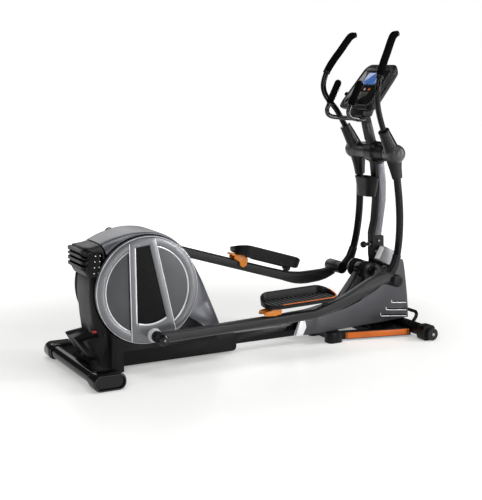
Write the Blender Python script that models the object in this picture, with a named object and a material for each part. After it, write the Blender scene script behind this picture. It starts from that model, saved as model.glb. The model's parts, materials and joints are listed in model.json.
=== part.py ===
"""Rear-drive elliptical trainer with a frame that folds in the middle.

Lengths are metres. X runs forward to the console, Y to the user's left, Z up. The parts are laid out
from a point on the floor under the crank axle; the empty "machine" then moves them so that the world
origin is the centre of the machine's footprint.
"""
import math

import bmesh
import bpy
from mathutils import Vector

# ---- driving dimensions -------------------------------------------------------------------------
FOOTPRINT_CENTRE_X = 0.6524     # forward of the crank axle
GAP = 0.0004                    # left between parts that touch
CLEAR = 0.0008                  # between a shaft and its bore
MERGE = 0.000001                # rings may share points closer than this

AXLE_Z = 0.417                  # crank axle above the floor
CRANK_RADIUS = 0.2306           # half of an 18 inch stride
CRANK_PHASE = math.radians(6.7)  # right crank pin, forward of straight down
DISC_RADIUS = 0.270
DISC_IN = 0.136                 # inner and outer faces of a crank disc, from the centre plane
DISC_OUT = 0.156

PIVOT_X = 1.446                 # upper pivot of the swing arms
PIVOT_Z = 1.031
LEG_LENGTH = 0.6845             # upper pivot to lower hinge
ARM_LENGTH = 1.402              # crank pin to lower hinge
ARM_Y = 0.245                   # plane of the pedal arms
ARM_IN = 0.190                  # inner end of the pedal arm's hubs
ARM_OUT = 0.278
ARM_WIDTH = 0.040

FOLD_X = 1.385                  # fold hinge between rear and front frames
FOLD_Z = 0.368

RAIL_HALF_WIDTH = 0.030
RAIL_LOW = 0.046
RAIL_HIGH = 0.106
HOUSING_HALF_WIDTH = 0.125
HOUSING_LOW = 0.113
WALL = 0.004

TUBE_RADIUS = 0.034             # stabilizer tubes
TUBE_Z = 0.045
REAR_TUBE_X = -0.330
FRONT_TUBE_X = 1.613
REAR_TUBE_HALF = 0.330
FRONT_TUBE_HALF = 0.305

POST_HALF_WIDTH = 0.025
MAST_HALF_WIDTH = 0.030
SHROUD_HALF_WIDTH = 0.095
SLOT_HALF_WIDTH = 0.042         # slot between the shroud halves for the rear frame's neck

CONSOLE_HALF_WIDTH = 0.150
CONSOLE_FOOT = Vector((1.300, 0.0, 1.275))    # lower edge of the sloping face
CONSOLE_HEAD = Vector((1.485, 0.0, 1.500))    # upper edge of the sloping face

FLYWHEEL_X = 0.200
FLYWHEEL_Z = 0.300
FLYWHEEL_RADIUS = 0.105
PULLEY_RADIUS = 0.126
SMALL_PULLEY_RADIUS = 0.018

SIDES = {"right": -1.0, "left": 1.0}

# ---- finishes: base colour, roughness, metallic ---------------------------------------------------
BLACK_PAINT = ((0.018, 0.018, 0.019), 0.38, 0.2)
BLACK_PLASTIC = ((0.022, 0.022, 0.023), 0.50, 0.0)
GREY_PLASTIC = ((0.085, 0.085, 0.095), 0.42, 0.1)
SILVER_PLASTIC = ((0.300, 0.300, 0.330), 0.35, 0.5)
ORANGE_PLASTIC = ((0.750, 0.180, 0.020), 0.40, 0.0)
RUBBER = ((0.015, 0.015, 0.015), 0.85, 0.0)
FOAM = ((0.012, 0.012, 0.013), 0.95, 0.0)
STEEL = ((0.450, 0.450, 0.460), 0.30, 1.0)
GLASS_BLUE = ((0.080, 0.180, 0.450), 0.12, 0.0)
RED_PLASTIC = ((0.500, 0.030, 0.020), 0.40, 0.0)


# ---- modelling helpers ------------------------------------------------------------------------------
def clear_scene():
    for old in list(bpy.data.objects):
        bpy.data.objects.remove(old, do_unlink=True)


def principled(name, finish):
    colour, roughness, metallic = finish
    material = bpy.data.materials.new(name)
    material.use_nodes = True
    shader = material.node_tree.nodes["Principled BSDF"]
    shader.inputs["Base Color"].default_value = (*colour, 1.0)
    shader.inputs["Roughness"].default_value = roughness
    shader.inputs["Metallic"].default_value = metallic
    return material


def pivot(name, parent=None, at=(0.0, 0.0, 0.0), tilt=0.0, own_frame=False):
    """An empty on a joint's axis. at is in the machine's layout; tilt turns it about Y.

    Parts on a pivot with own_frame are modelled in that empty's own axes."""
    empty = bpy.data.objects.new(name, None)
    bpy.context.scene.collection.objects.link(empty)
    empty["at"] = tuple(at)
    empty["tilt"] = tilt
    empty["own_frame"] = own_frame
    if parent is not None:
        empty.parent = parent
        offset = Vector(at) - Vector(parent["at"])
        offset.rotate(parent.rotation_euler.to_matrix().inverted())
        empty.location = offset
        empty.rotation_euler = (0.0, tilt - parent["tilt"], 0.0)
    return empty


def loft(name, rings, finish, on, closed=False):
    """One closed body through rings of equal length; closed joins the last ring to the first."""
    work = bmesh.new()
    layers = [[work.verts.new(point) for point in ring] for ring in rings]
    count = len(rings[0])
    pairs = list(zip(layers, layers[1:]))
    if closed:
        pairs.append((layers[-1], layers[0]))
    else:
        work.faces.new(layers[0])
        work.faces.new(layers[-1])
    for low, high in pairs:
        for i in range(count):
            j = (i + 1) % count
            work.faces.new((low[i], low[j], high[j], high[i]))
    bmesh.ops.remove_doubles(work, verts=work.verts, dist=MERGE)
    bmesh.ops.recalc_face_normals(work, faces=work.faces)
    mesh = bpy.data.meshes.new(name)
    work.to_mesh(mesh)
    work.free()
    mesh.shade_smooth()
    mesh.set_sharp_from_angle(angle=math.radians(35))
    body = bpy.data.objects.new(name, mesh)
    bpy.context.scene.collection.objects.link(body)
    mesh.materials.append(principled(name, finish))
    body.parent = on
    if not on["own_frame"]:
        body.location = -Vector(on["at"])
    return body


def circle(radius, sides, start=0.0):
    """Points (a, b) of a circle."""
    step = 2.0 * math.pi / sides
    return [(radius * math.cos(start + i * step), radius * math.sin(start + i * step))
            for i in range(sides)]


def arc(x, z, radius, start, end, count):
    """Points (x, z) along an arc, angles in degrees."""
    angles = [math.radians(start + (end - start) * i / (count - 1)) for i in range(count)]
    return [(x + radius * math.cos(a), z + radius * math.sin(a)) for a in angles]


def rounded_box(low, high, radius, count=4):
    """Corners (a, b) of a rectangle with round corners."""
    centres = ((high[0] - radius, high[1] - radius, 0), (low[0] + radius, high[1] - radius, 90),
               (low[0] + radius, low[1] + radius, 180), (high[0] - radius, low[1] + radius, 270))
    points = []
    for a, b, start in centres:
        points += arc(a, b, radius, start, start + 90, count)
    return points


def inset(outline, distance):
    """An outline moved inwards by a distance, for a counter-clockwise (x, z) outline."""
    points = []
    count = len(outline)
    for i in range(count):
        before = Vector(outline[i]) - Vector(outline[i - 1])
        after = Vector(outline[(i + 1) % count]) - Vector(outline[i])
        before.normalize()
        after.normalize()
        normal_before = Vector((-before.y, before.x))
        normal_after = Vector((-after.y, after.x))
        middle = normal_before + normal_after
        shift = middle * (distance / (0.5 * middle.length_squared))
        points.append(tuple(Vector(outline[i]) + shift))
    return points


def prism(name, outline, y_from, y_to, finish, on):
    """An (x, z) outline extruded along Y."""
    rings = [[(x, y, z) for x, z in outline] for y in (y_from, y_to)]
    return loft(name, rings, finish, on)


def plate(name, outline, z_from, z_to, finish, on):
    """An (x, y) outline extruded along Z."""
    rings = [[(x, y, z) for x, y in outline] for z in (z_from, z_to)]
    return loft(name, rings, finish, on)


def turned(name, profile, x, z, finish, on, sides=20, closed=False):
    """A profile of (radius, y) turned about the line along Y through x, z."""
    rings = [[(x + a, y, z + b) for a, b in circle(radius, sides)] for radius, y in profile]
    return loft(name, rings, finish, on, closed)


def smooth_path(points, steps):
    """A Catmull-Rom curve through the points, with steps pieces between two of them."""
    line = [Vector(p) for p in points]
    line = [line[0] * 2 - line[1]] + line + [line[-1] * 2 - line[-2]]
    path = []
    for i in range(1, len(line) - 2):
        a, b, c, d = line[i - 1:i + 3]
        for step in range(steps):
            t = step / steps
            path.append(0.5 * (2 * b + (c - a) * t + (2 * a - 5 * b + 4 * c - d) * t * t
                               + (3 * b - 3 * c + d - a) * t * t * t))
    path.append(line[-2])
    return path


def sweep_rings(path, sections, side):
    """Rings of a section carried along a path; side is the direction of the section's first axis."""
    rings = []
    path = [Vector(p) for p in path]
    for i, point in enumerate(path):
        ahead = path[min(i + 1, len(path) - 1)] - path[max(i - 1, 0)]
        ahead.normalize()
        across = Vector(side) - ahead * ahead.dot(Vector(side))
        across.normalize()
        upward = ahead.cross(across)
        rings.append([point + across * a + upward * b for a, b in sections[i]])
    return rings


def tube(name, path, radius, finish, on, sides=12, side=(0.0, 1.0, 0.0), widest=1.0):
    """A bar along a path; radius is one number or one for each point. widest limits it along side."""
    radii = radius if isinstance(radius, list) else [radius] * len(path)
    sections = [[(a * min(1.0, widest / r), b) for a, b in circle(r, sides)] for r in radii]
    return loft(name, sweep_rings(path, sections, side), finish, on)


def sleeve(name, path, outer, inner, finish, on, sides=12, side=(0.0, 1.0, 0.0)):
    """A round pipe along a path, open at both ends."""
    outside = sweep_rings(path, [circle(outer, sides)] * len(path), side)
    inside = sweep_rings(path, [circle(inner, sides)] * len(path), side)
    return loft(name, outside + inside[::-1], finish, on, closed=True)


def combine(body, tool, operation):
    """A live Boolean with a hidden tool."""
    modifier = body.modifiers.new(operation.lower(), "BOOLEAN")
    modifier.operation = operation
    modifier.object = tool
    tool.hide_render = True
    tool.display_type = "WIRE"
    return body


def cut(body, *tools):
    for tool in tools:
        combine(body, tool, "DIFFERENCE")
    return body


def fuse(body, *tools):
    for tool in tools:
        combine(body, tool, "UNION")
    return body


def band(side, inner, outer):
    """Inner and outer distances from the centre plane as Y on one side."""
    return side * inner, side * outer


def two_link(pin_x, pin_z):
    """Lower hinge of a side: ARM_LENGTH from its crank pin and LEG_LENGTH from the pivot."""
    pin = Vector((pin_x, pin_z))
    top = Vector((PIVOT_X, PIVOT_Z))
    span = (top - pin).length
    along = (ARM_LENGTH ** 2 - LEG_LENGTH ** 2 + span ** 2) / (2 * span)
    off = math.sqrt(ARM_LENGTH ** 2 - along ** 2)
    ahead = (top - pin) / span
    hinge = pin + ahead * along + Vector((ahead.y, -ahead.x)) * off
    return hinge.x, hinge.y


# ---- front frame --------------------------------------------------------------------------------------
def rail_y(x):
    """Outer face of a base rail, which spreads towards the front."""
    return 0.113 + 0.2457 * (x - 1.21)


def base_frame(machine):
    body = plate("base_frame", rounded_box((1.375, -0.135), (1.560, 0.135), 0.02, 3),
                 0.012, 0.050, BLACK_PAINT, machine)
    for name, side in SIDES.items():
        outer = [(1.12, side * rail_y(1.12)), (1.577, side * rail_y(1.577))]
        inner = [(1.577, side * (rail_y(1.577) - 0.04)), (1.12, side * (rail_y(1.12) - 0.04))]
        fuse(body, plate("base_rail_" + name, outer + inner, 0.010, 0.051, BLACK_PAINT, machine))
        low = (1.085, min(side * 0.060, side * 0.130))
        high = (1.175, max(side * 0.060, side * 0.130))
        fuse(body, plate("base_foot_" + name, rounded_box(low, high, 0.02, 3),
                         0.0, 0.056, BLACK_PAINT, machine))
    cross = plate("base_cross", [(1.105, -0.09), (1.150, -0.09), (1.150, 0.09), (1.105, 0.09)],
                  0.014, 0.046, BLACK_PAINT, machine)
    return fuse(body, cross)


def base_trim(machine, name, side):
    reach = (1.20, 1.565)
    low, high = GAP, 0.0035
    outline = [(x, side * (rail_y(x) + off)) for x, off in
               ((reach[0], low), (reach[1], low), (reach[1], high), (reach[0], high))]
    plate("base_trim_" + name, outline, 0.014, 0.047, ORANGE_PLASTIC, machine)


def front_stabilizer(machine):
    body = turned("front_stabilizer", [(TUBE_RADIUS, -FRONT_TUBE_HALF), (TUBE_RADIUS, FRONT_TUBE_HALF)],
                  FRONT_TUBE_X, TUBE_Z, BLACK_PAINT, machine)
    half = [(1.626, 0.152, 0.066), (1.652, 0.150, 0.098), (1.665, 0.130, 0.115), (1.667, 0.090, 0.118)]
    route = half + [(x, -y, z) for x, y, z in reversed(half)]
    return fuse(body, tube("carry_handle", smooth_path(route, 3), 0.010, BLACK_PAINT, machine,
                           10, side=(1.0, 0.0, 0.3)))


def stabilizer_cap(machine, name, side):
    y0, y1 = band(side, 0.262, 0.320)
    body = prism("stabilizer_cap_" + name, rounded_box((1.572, 0.0), (1.654, 0.084), 0.022),
                 y0, y1, BLACK_PLASTIC, machine)
    y0, y1 = band(side, 0.2, FRONT_TUBE_HALF + GAP)
    cut(body, turned("cap_bore_" + name, [(TUBE_RADIUS + GAP, y0), (TUBE_RADIUS + GAP, y1)],
                     FRONT_TUBE_X, TUBE_Z, STEEL, machine))
    y0, y1 = band(side, 0.315, 0.346)
    return fuse(body, turned("wheel_stub_" + name, [(0.006, y0), (0.006, y1)],
                             1.624, 0.037, STEEL, machine, 12))


def transport_wheel(on, name, side):
    y0, y1 = band(side, 0.3206, 0.345)
    ya, yb = band(side, 0.324, 0.3415)
    profile = [(0.0068, y0), (0.028, y0), (0.034, ya), (0.034, yb), (0.028, y1), (0.0068, y1)]
    turned("transport_wheel_" + name, profile, 1.624, 0.037, RUBBER, on, 20, closed=True)


def upright_post(machine):
    """The post from the base to the console, notched for the fold hinge and the silver mast cover."""
    rear = [(1.452, 0.0505), (1.437, 0.300), (1.437, 0.425), (1.432, 0.450), (1.428, 0.575),
            (1.444, 0.645), (1.452, 0.760), (1.446, 0.860), (1.432, 0.965), (1.406, 1.010),
            (1.400, 1.093), (1.376, 1.177), (1.352, 1.250)]
    front = [(1.390, 1.250), (1.438, 1.095), (1.485, 1.050), (1.492, 1.005), (1.499, 0.967),
             (1.448, 0.965), (1.460, 0.860), (1.464, 0.760), (1.456, 0.645), (1.440, 0.557),
             (1.505, 0.556), (1.512, 0.400), (1.540, 0.300), (1.552, 0.0505)]
    body = prism("upright_post", rear + front, -POST_HALF_WIDTH, POST_HALF_WIDTH, BLACK_PAINT, machine)
    bore = turned("pivot_bore", [(0.0315 + CLEAR, -0.1), (0.0315 + CLEAR, 0.1)], PIVOT_X, PIVOT_Z,
                  STEEL, machine)
    bolt = prism("latch_bore", rounded_box((1.424, 0.500), (1.459, 0.520), 0.005, 3),
                 -0.010, 0.010, STEEL, machine)
    return cut(body, bore, bolt)


def mast_cover(machine):
    rear = [(1.4485, 0.9645), (1.4605, 0.860), (1.4645, 0.760), (1.4565, 0.645), (1.4405, 0.5575)]
    front = [(1.487, 0.5575), (1.499, 0.645), (1.513, 0.757), (1.511, 0.860), (1.496, 0.9645)]
    prism("mast_cover", rear + front, -MAST_HALF_WIDTH, MAST_HALF_WIDTH, SILVER_PLASTIC, machine)


def swing_axle(machine):
    profile = [(0.011, -0.195), (0.011, -0.1245), (0.031, -0.1240), (0.031, 0.1240),
               (0.011, 0.1245), (0.011, 0.195)]
    turned("swing_axle", profile, PIVOT_X, PIVOT_Z, STEEL, machine, 20)


SHROUD_TOP = [(1.576, 0.425), (1.558, 0.385), (1.530, 0.345), (1.490, 0.310), (1.400, 0.258),
              (1.300, 0.210), (1.200, 0.178), (1.080, 0.158), (0.982, 0.148)]
SHROUD_LOW = [(0.950, 0.060), (1.100, 0.062), (1.600, 0.082), (1.638, 0.084)]
SHROUD_FRONT = [(1.632, 0.140), (1.604, 0.357), (1.590, 0.422)]


def shroud(machine, name, side):
    outline = SHROUD_LOW + SHROUD_FRONT + SHROUD_TOP
    y0, y1 = band(side, 0.0004, SHROUD_HALF_WIDTH)
    body = prism("shroud_" + name, outline, y0, y1, GREY_PLASTIC, machine)
    y0, y1 = band(side, -0.01, SHROUD_HALF_WIDTH - WALL)
    hollow = prism("shroud_hollow_" + name, inset(outline, WALL), y0, y1, GREY_PLASTIC, machine)
    y0, y1 = band(side, -0.02, SLOT_HALF_WIDTH)
    slot = prism("shroud_slot_" + name, [(0.90, 0.0), (1.575, 0.0), (1.575, 0.60), (0.90, 0.60)],
                 y0, y1, GREY_PLASTIC, machine)
    return cut(body, hollow, slot)


def lift_motor(machine):
    outline = [(1.505, 0.394), (1.548, 0.470), (1.478, 0.504), (1.436, 0.428)]
    prism("lift_motor", outline, -0.086, -0.0265, SILVER_PLASTIC, machine)


def fold_barrel(machine):
    """The hinge shaft of the folding frame with its two clamp blocks, in one piece."""
    ends = [(0.030, -0.088), (0.042, -0.080), (0.042, -0.0360), (0.015, -0.0355)]
    profile = ends + [(radius, -y) for radius, y in reversed(ends)]
    body = turned("fold_barrel", profile, FOLD_X, FOLD_Z, BLACK_PAINT, machine)
    for name, side in SIDES.items():
        y0, y1 = band(side, 0.0360, 0.078)
        fuse(body, prism("clamp_rear_" + name, rounded_box((1.385, 0.340), (1.446, 0.404), 0.006, 2),
                         y0, y1, BLACK_PAINT, machine))
        y0, y1 = band(side, POST_HALF_WIDTH + GAP, 0.077)
        fuse(body, prism("clamp_front_" + name, rounded_box((1.440, 0.341), (1.496, 0.394), 0.006, 2),
                         y0, y1, BLACK_PAINT, machine))
    return body


def bottle_holder(machine):
    """A tapered cup with two lobes, open at the top."""
    def lobes(x_radius, y_radius, shift):
        right = [(x_radius * math.cos(a), -shift + y_radius * math.sin(a)) for a in
                 [math.radians(180 + 180 * i / 9) for i in range(10)]]
        left = [(x_radius * math.cos(a), shift + y_radius * math.sin(a)) for a in
                [math.radians(180 * i / 9) for i in range(10)]]
        return right + left

    x = 1.400
    steps = [((0.030, 0.036, 0.026), 0.785), ((0.041, 0.048, 0.034), 0.893),
             ((0.0375, 0.0445, 0.034), 0.893), ((0.0265, 0.0325, 0.026), 0.790)]
    rings = [[(x + a, b, z) for a, b in lobes(*size)] for size, z in steps]
    body = loft("bottle_holder", rings, BLACK_PLASTIC, machine)
    strap = prism("holder_bracket", [(1.4265, 0.800), (1.4455, 0.800), (1.4455, 0.86), (1.4345, 0.86)],
                  -0.018, 0.018, BLACK_PLASTIC, machine)
    return fuse(body, strap)


def latch_knob(on):
    """The pull knob of the fold latch; its bolt reaches into the post."""
    z = 0.510
    steps = [(0.004, 1.4545), (0.004, 1.4275), (0.009, 1.4270), (0.009, 1.396), (0.017, 1.391),
             (0.018, 1.379), (0.013, 1.370)]
    rings = [[(x, a, z + b) for a, b in circle(radius, 16)] for radius, x in steps]
    loft("latch_knob", rings, BLACK_PLASTIC, on)


# ---- console ----------------------------------------------------------------------------------------------
def on_face(up, across, out):
    """A point on the console's sloping face: up the slope, across to the left, out of the face."""
    slope = (CONSOLE_HEAD - CONSOLE_FOOT).normalized()
    normal = Vector((-slope.z, 0.0, slope.x))
    middle = (CONSOLE_HEAD + CONSOLE_FOOT) / 2
    return middle + slope * up + Vector((0.0, across, 0.0)) + normal * out


def face_plate(name, outline, low, high, finish, on):
    """An outline of (across, up) points raised from the sloping face."""
    rings = [[on_face(up, across, out) for across, up in outline] for out in (low, high)]
    return loft(name, rings, finish, on)


KEY_UP = -0.024
KEY_ACROSS = (-0.042, 0.0, 0.042)


def console_housing(machine):
    outline = [(1.300, 1.275), (1.318, 1.2506), (1.392, 1.2506), (1.402, 1.300), (1.430, 1.362),
               (1.502, 1.452), (1.513, 1.478), (1.505, 1.499), (1.485, 1.500)]
    body = prism("console_housing", outline, -CONSOLE_HALF_WIDTH, CONSOLE_HALF_WIDTH,
                 BLACK_PLASTIC, machine)
    bevel = body.modifiers.new("round", "BEVEL")
    bevel.width = 0.012
    bevel.segments = 2
    bevel.limit_method = "ANGLE"
    bevel.angle_limit = math.radians(60)
    return body


def console_face(machine):
    outline = rounded_box((-0.128, -0.118), (0.128, 0.128), 0.030)
    body = face_plate("console_face", outline, GAP, 0.006, GREY_PLASTIC, machine)
    for number, across in enumerate(KEY_ACROSS):
        hole = [(across + a, KEY_UP + b) for a, b in circle(0.0090 + CLEAR, 16)]
        cut(body, face_plate(f"key_hole_{number + 1}", hole, -0.01, 0.02, GREY_PLASTIC, machine))
    return body


def display_lens(machine):
    outline = rounded_box((-0.062, 0.008), (0.062, 0.092), 0.008)
    face_plate("display_lens", outline, 0.006 + GAP, 0.009, GLASS_BLUE, machine)


def console_key(on, number, across):
    cap = [(across + a, KEY_UP + b) for a, b in circle(0.0090, 16)]
    face_plate(f"console_key_{number}", cap, 0.0022, 0.0085, ORANGE_PLASTIC, on)


GRIP_TOP = Vector((1.274, 0.105, 1.420))
GRIP_LOW = Vector((1.206, 0.105, 1.285))


def grip_bar(machine):
    """The fixed handlebar: two upright ends and a bar behind the post."""
    bend = [(1.198, 0.105, 1.263), (1.203, 0.104, 1.239), (1.228, 0.101, 1.224), (1.282, 0.090, 1.217),
            (1.332, 0.055, 1.213), (1.350, 0.0, 1.211)]
    half = [GRIP_TOP, GRIP_LOW] + [Vector(p) for p in bend]
    mirrored = [Vector((p.x, -p.y, p.z)) for p in reversed(half[2:-1])]
    ends = [Vector((GRIP_LOW.x, -GRIP_LOW.y, GRIP_LOW.z)), Vector((GRIP_TOP.x, -GRIP_TOP.y, GRIP_TOP.z))]
    curve = smooth_path(half[1:] + mirrored + [ends[0]], 2)
    path = [half[0]] + curve + [ends[1]]
    rings = []
    across = Vector((0.8, 0.0, -0.6))
    for i, point in enumerate(path):
        ahead = (path[min(i + 1, len(path) - 1)] - path[max(i - 1, 0)]).normalized()
        across = (across - ahead * ahead.dot(across)).normalized()
        upward = ahead.cross(across)
        rings.append([point + across * a + upward * b for a, b in circle(0.0125, 10)])
    loft("grip_bar", rings, BLACK_PAINT, machine)


def pulse_grip(machine, name, side):
    low = GRIP_LOW.lerp(GRIP_TOP, 0.10)
    high = GRIP_LOW.lerp(GRIP_TOP, 0.985)
    path = [Vector((p.x, side * p.y, p.z)) for p in (low, high)]
    sleeve("pulse_grip_" + name, path, 0.0185, 0.0140, FOAM, machine, 14)


# ---- swing arms, each in its own frame: origin on the upper pivot, leg straight down ----------------------
SOCKET_END = Vector((-0.086, 0.196, 0.122))
BOOT_END = Vector((0.046, 0.168, -0.146))
HANDLE_ROUTE = [(-0.0880, 0.1968, 0.1248), (-0.140, 0.226, 0.205), (-0.190, 0.272, 0.272),
                (-0.206, 0.292, 0.330), (-0.199, 0.292, 0.400), (-0.174, 0.280, 0.470),
                (-0.140, 0.266, 0.538), (-0.112, 0.255, 0.596), (-0.094, 0.250, 0.624),
                (-0.066, 0.246, 0.636)]
LEG_ROUTE = [(0.0474, 0.168, -0.1502), (0.063, 0.168, -0.260), (0.075, 0.168, -0.370),
             (0.077, 0.168, -0.480), (0.069, 0.168, -0.570)]
GRIP_START = 9                 # grip begins at this point of the smoothed handle route


def sided(points, side):
    return [Vector((p[0], side * p[1], p[2])) for p in points]


def swing_hub(on, name, side):
    steps = [(0.034, 0.1250), (0.039, 0.130), (0.040, 0.168), (0.046, 0.184), (0.047, 0.200),
             (0.043, 0.216), (0.032, 0.229), (0.014, 0.236)]
    body = turned("swing_hub_" + name, [(radius, side * y) for radius, y in steps], 0.0, 0.0,
                  BLACK_PLASTIC, on, 16)
    up = sided([(-0.010, 0.178, 0.012), (-0.060, 0.189, 0.086), SOCKET_END], side)
    down = sided([(0.006, 0.170, -0.015), (0.028, 0.168, -0.085), BOOT_END], side)
    fuse(body, tube("hub_socket_" + name, up, [0.036, 0.030, 0.026], BLACK_PLASTIC, on, 12))
    fuse(body, tube("hub_boot_" + name, down, [0.042, 0.034, 0.025], BLACK_PLASTIC, on, 12))
    y0, y1 = band(side, 0.10, 0.197)
    return cut(body, turned("hub_bore_" + name, [(0.011 + CLEAR, y0), (0.011 + CLEAR, y1)], 0.0, 0.0,
                            STEEL, on, 20))


def handlebar(on, name, side):
    path = smooth_path(sided(HANDLE_ROUTE, side), 2)
    tube("handlebar_" + name, path, 0.0155, BLACK_PAINT, on, 12)
    foam = path[GRIP_START:]
    sleeve("handle_grip_" + name, foam, 0.0200, 0.0155 + CLEAR, FOAM, on, 12)


def leg(on, name, side):
    """The leg tube with the curved boot and the bored hub at its lower end, as one piece."""
    path = smooth_path(sided(LEG_ROUTE, side), 2)
    body = tube("leg_" + name, path, 0.0205, BLACK_PAINT, on, 12)
    route = [(0.0694, 0.168, -0.5620), (0.055, 0.168, -0.622), (0.028, 0.168, -0.664),
             (0.004, 0.168, -0.682)]
    radii = [0.0245, 0.0255, 0.0265, 0.0270, 0.0275, 0.0250, 0.0215]
    fuse(body, tube("leg_boot_" + name, smooth_path(sided(route, side), 2), radii, BLACK_PLASTIC, on,
                    14, widest=0.0212))
    y0, y1 = band(side, 0.1460, ARM_IN - GAP)
    fuse(body, turned("boot_hub_" + name, [(0.033, y0), (0.033, y1)], 0.0, -LEG_LENGTH,
                      BLACK_PLASTIC, on, 20))
    y0, y1 = band(side, 0.10, 0.25)
    return cut(body, turned("boot_bore_" + name, [(0.010 + CLEAR, y0), (0.010 + CLEAR, y1)],
                            0.0, -LEG_LENGTH, STEEL, on, 20))


def hinge_pin(on, name, side):
    steps = [(0.010, 0.148), (0.010, ARM_OUT + GAP), (0.031, ARM_OUT + 2 * GAP), (0.033, 0.283),
             (0.026, 0.289)]
    turned("hinge_pin_" + name, [(radius, side * y) for radius, y in steps], 0.0, 0.0,
           BLACK_PLASTIC, on, 20)


# ---- pedal arms, each in its own frame: origin on the lower hinge, crank pin at -ARM_LENGTH on X -------------
TRAY_ANGLE = math.radians(-5.0)      # tray and straight tube against the line from pin to hinge
TRAY_PIVOT = {"right": (0.948, -0.0235), "left": (1.088, -0.055)}   # from the pin, along and across it
LEVER_PIVOT = {"right": (0.632, -0.0035), "left": (0.772, -0.0233)}
TRAY_LENGTH = 0.430
TRAY_WIDTH = 0.168
STRAIGHT = {"right": (0.880, 0.004), "left": (0.980, -0.004)}       # straight tube: length, height
ARM_CURVE = {"right": ((0.990, -0.058), (1.088, -0.042), (1.188, -0.012), (1.290, 0.020),
                       (1.355, 0.024), (1.402, 0.010)),
             "left": ((1.060, -0.096), (1.125, -0.101), (1.193, -0.098), (1.271, -0.080),
                      (1.348, -0.056), (1.402, -0.025))}


def along_arm(distance, height):
    """A point from the crank pin: distance along the straight tube and height above its centre."""
    ahead = Vector((math.cos(TRAY_ANGLE), math.sin(TRAY_ANGLE)))
    up = Vector((-ahead.y, ahead.x))
    point = ahead * distance + up * height
    return point.x - ARM_LENGTH, point.y


def arm_section(height):
    half_w = ARM_WIDTH / 2
    half_h = height / 2
    edge = 0.008
    return [(half_w, half_h - edge), (half_w - edge, half_h), (-half_w + edge, half_h),
            (-half_w, half_h - edge), (-half_w, -half_h + edge), (-half_w + edge, -half_h),
            (half_w - edge, -half_h), (half_w, -half_h + edge)]


def pedal_arm(on, name, side):
    length, height = STRAIGHT[name]
    straight = [along_arm(0.0, height), along_arm(length, height)]
    bend = [(x - ARM_LENGTH, z) for x, z in ARM_CURVE[name]]
    path = [(straight[0][0], side * ARM_Y, straight[0][1])]
    path += smooth_path([(x, side * ARM_Y, z) for x, z in [straight[1]] + bend], 2)
    heights = [0.052, 0.052, 0.053, 0.055, 0.058, 0.062, 0.066, 0.068, 0.070, 0.068, 0.066, 0.060,
               0.054, 0.050]
    sections = [arm_section(height) for height in heights]
    body = loft("pedal_arm_" + name, sweep_rings(path, sections, (0.0, 1.0, 0.0)), BLACK_PAINT, on)
    y0, y1 = band(side, ARM_IN, ARM_OUT)
    fuse(body, turned("arm_rear_hub_" + name, [(0.027, y0), (0.027, y1)], -ARM_LENGTH, 0.0,
                      BLACK_PAINT, on, 20))
    fuse(body, turned("arm_front_hub_" + name, [(0.035, y0), (0.035, y1)], 0.0, 0.0,
                      BLACK_PAINT, on, 20))
    y0, y1 = band(side, ARM_Y - 0.012, ARM_Y + 0.012)
    px, pz = TRAY_PIVOT[name][0] - ARM_LENGTH, TRAY_PIVOT[name][1]
    fuse(body, turned("tray_knuckle_" + name, [(0.011, y0), (0.011, y1)], px, pz, BLACK_PAINT, on, 16))
    stem = [(px - 0.010, pz - 0.030), (px + 0.010, pz - 0.030), (px + 0.010, pz), (px - 0.010, pz)]
    fuse(body, prism("tray_stem_" + name, stem, y0, y1, BLACK_PAINT, on))
    lx, lz = LEVER_PIVOT[name][0] - ARM_LENGTH, LEVER_PIVOT[name][1]
    stand = [(lx - 0.006, lz - 0.030), (lx + 0.006, lz - 0.030), (lx + 0.006, lz), (lx - 0.006, lz)]
    fuse(body, prism("lever_stand_" + name, stand, y0, y1, BLACK_PAINT, on))
    fuse(body, turned("lever_knuckle_" + name, [(0.0075, y0), (0.0075, y1)], lx, lz,
                      BLACK_PAINT, on, 12))
    y0, y1 = band(side, 0.1, 0.35)
    return cut(body, turned("arm_bore_" + name, [(0.010 + CLEAR, y0), (0.010 + CLEAR, y1)],
                            0.0, 0.0, STEEL, on, 20))


def tray_outline(grow):
    """Half-egg plan of the pedal, from its hinge: x to the rear is negative. grow moves it outwards."""
    centre = -TRAY_LENGTH / 2 + 0.058
    low = (centre - TRAY_LENGTH / 2 - grow, -TRAY_WIDTH / 2 - grow)
    high = (centre + TRAY_LENGTH / 2 + grow, TRAY_WIDTH / 2 + grow)
    return rounded_box(low, high, 0.074 + grow, 6)


def pedal_tray(on, name, side):
    """A tray whose rim stands high towards the machine and low on the outside; frame on its hinge."""
    floor = 0.013
    def rim(y):
        inward = max(0.0, min(1.0, 0.5 - side * y / TRAY_WIDTH))
        return floor + 0.026 + 0.040 * inward * inward
    def ring(grow, height):
        return [(x, side * ARM_Y + y, height if height is not None else rim(y))
                for x, y in tray_outline(grow)]
    rings = [ring(-0.016, floor), ring(-0.004, floor + 0.008), ring(0.0, None), ring(-0.006, None),
             ring(-0.012, floor + 0.009)]
    body = loft("pedal_tray_" + name, rings, BLACK_PLASTIC, on)
    for number, offset in enumerate((-0.019, 0.019)):
        y0, y1 = side * ARM_Y + offset - 0.0065, side * ARM_Y + offset + 0.0065
        lug = rounded_box((-0.010, -0.009), (0.010, floor + 0.004), 0.008, 4)
        fuse(body, prism(f"tray_lug_{name}_{number + 1}", lug, y0, y1, BLACK_PLASTIC, on))
    return body


def pedal_mat(on, name, side):
    rings = [[(x, side * ARM_Y + y, z) for x, y in tray_outline(-0.0145)]
             for z in (0.013 + 0.009 + GAP, 0.013 + 0.016)]
    loft("pedal_mat_" + name, rings, RUBBER, on)


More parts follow.
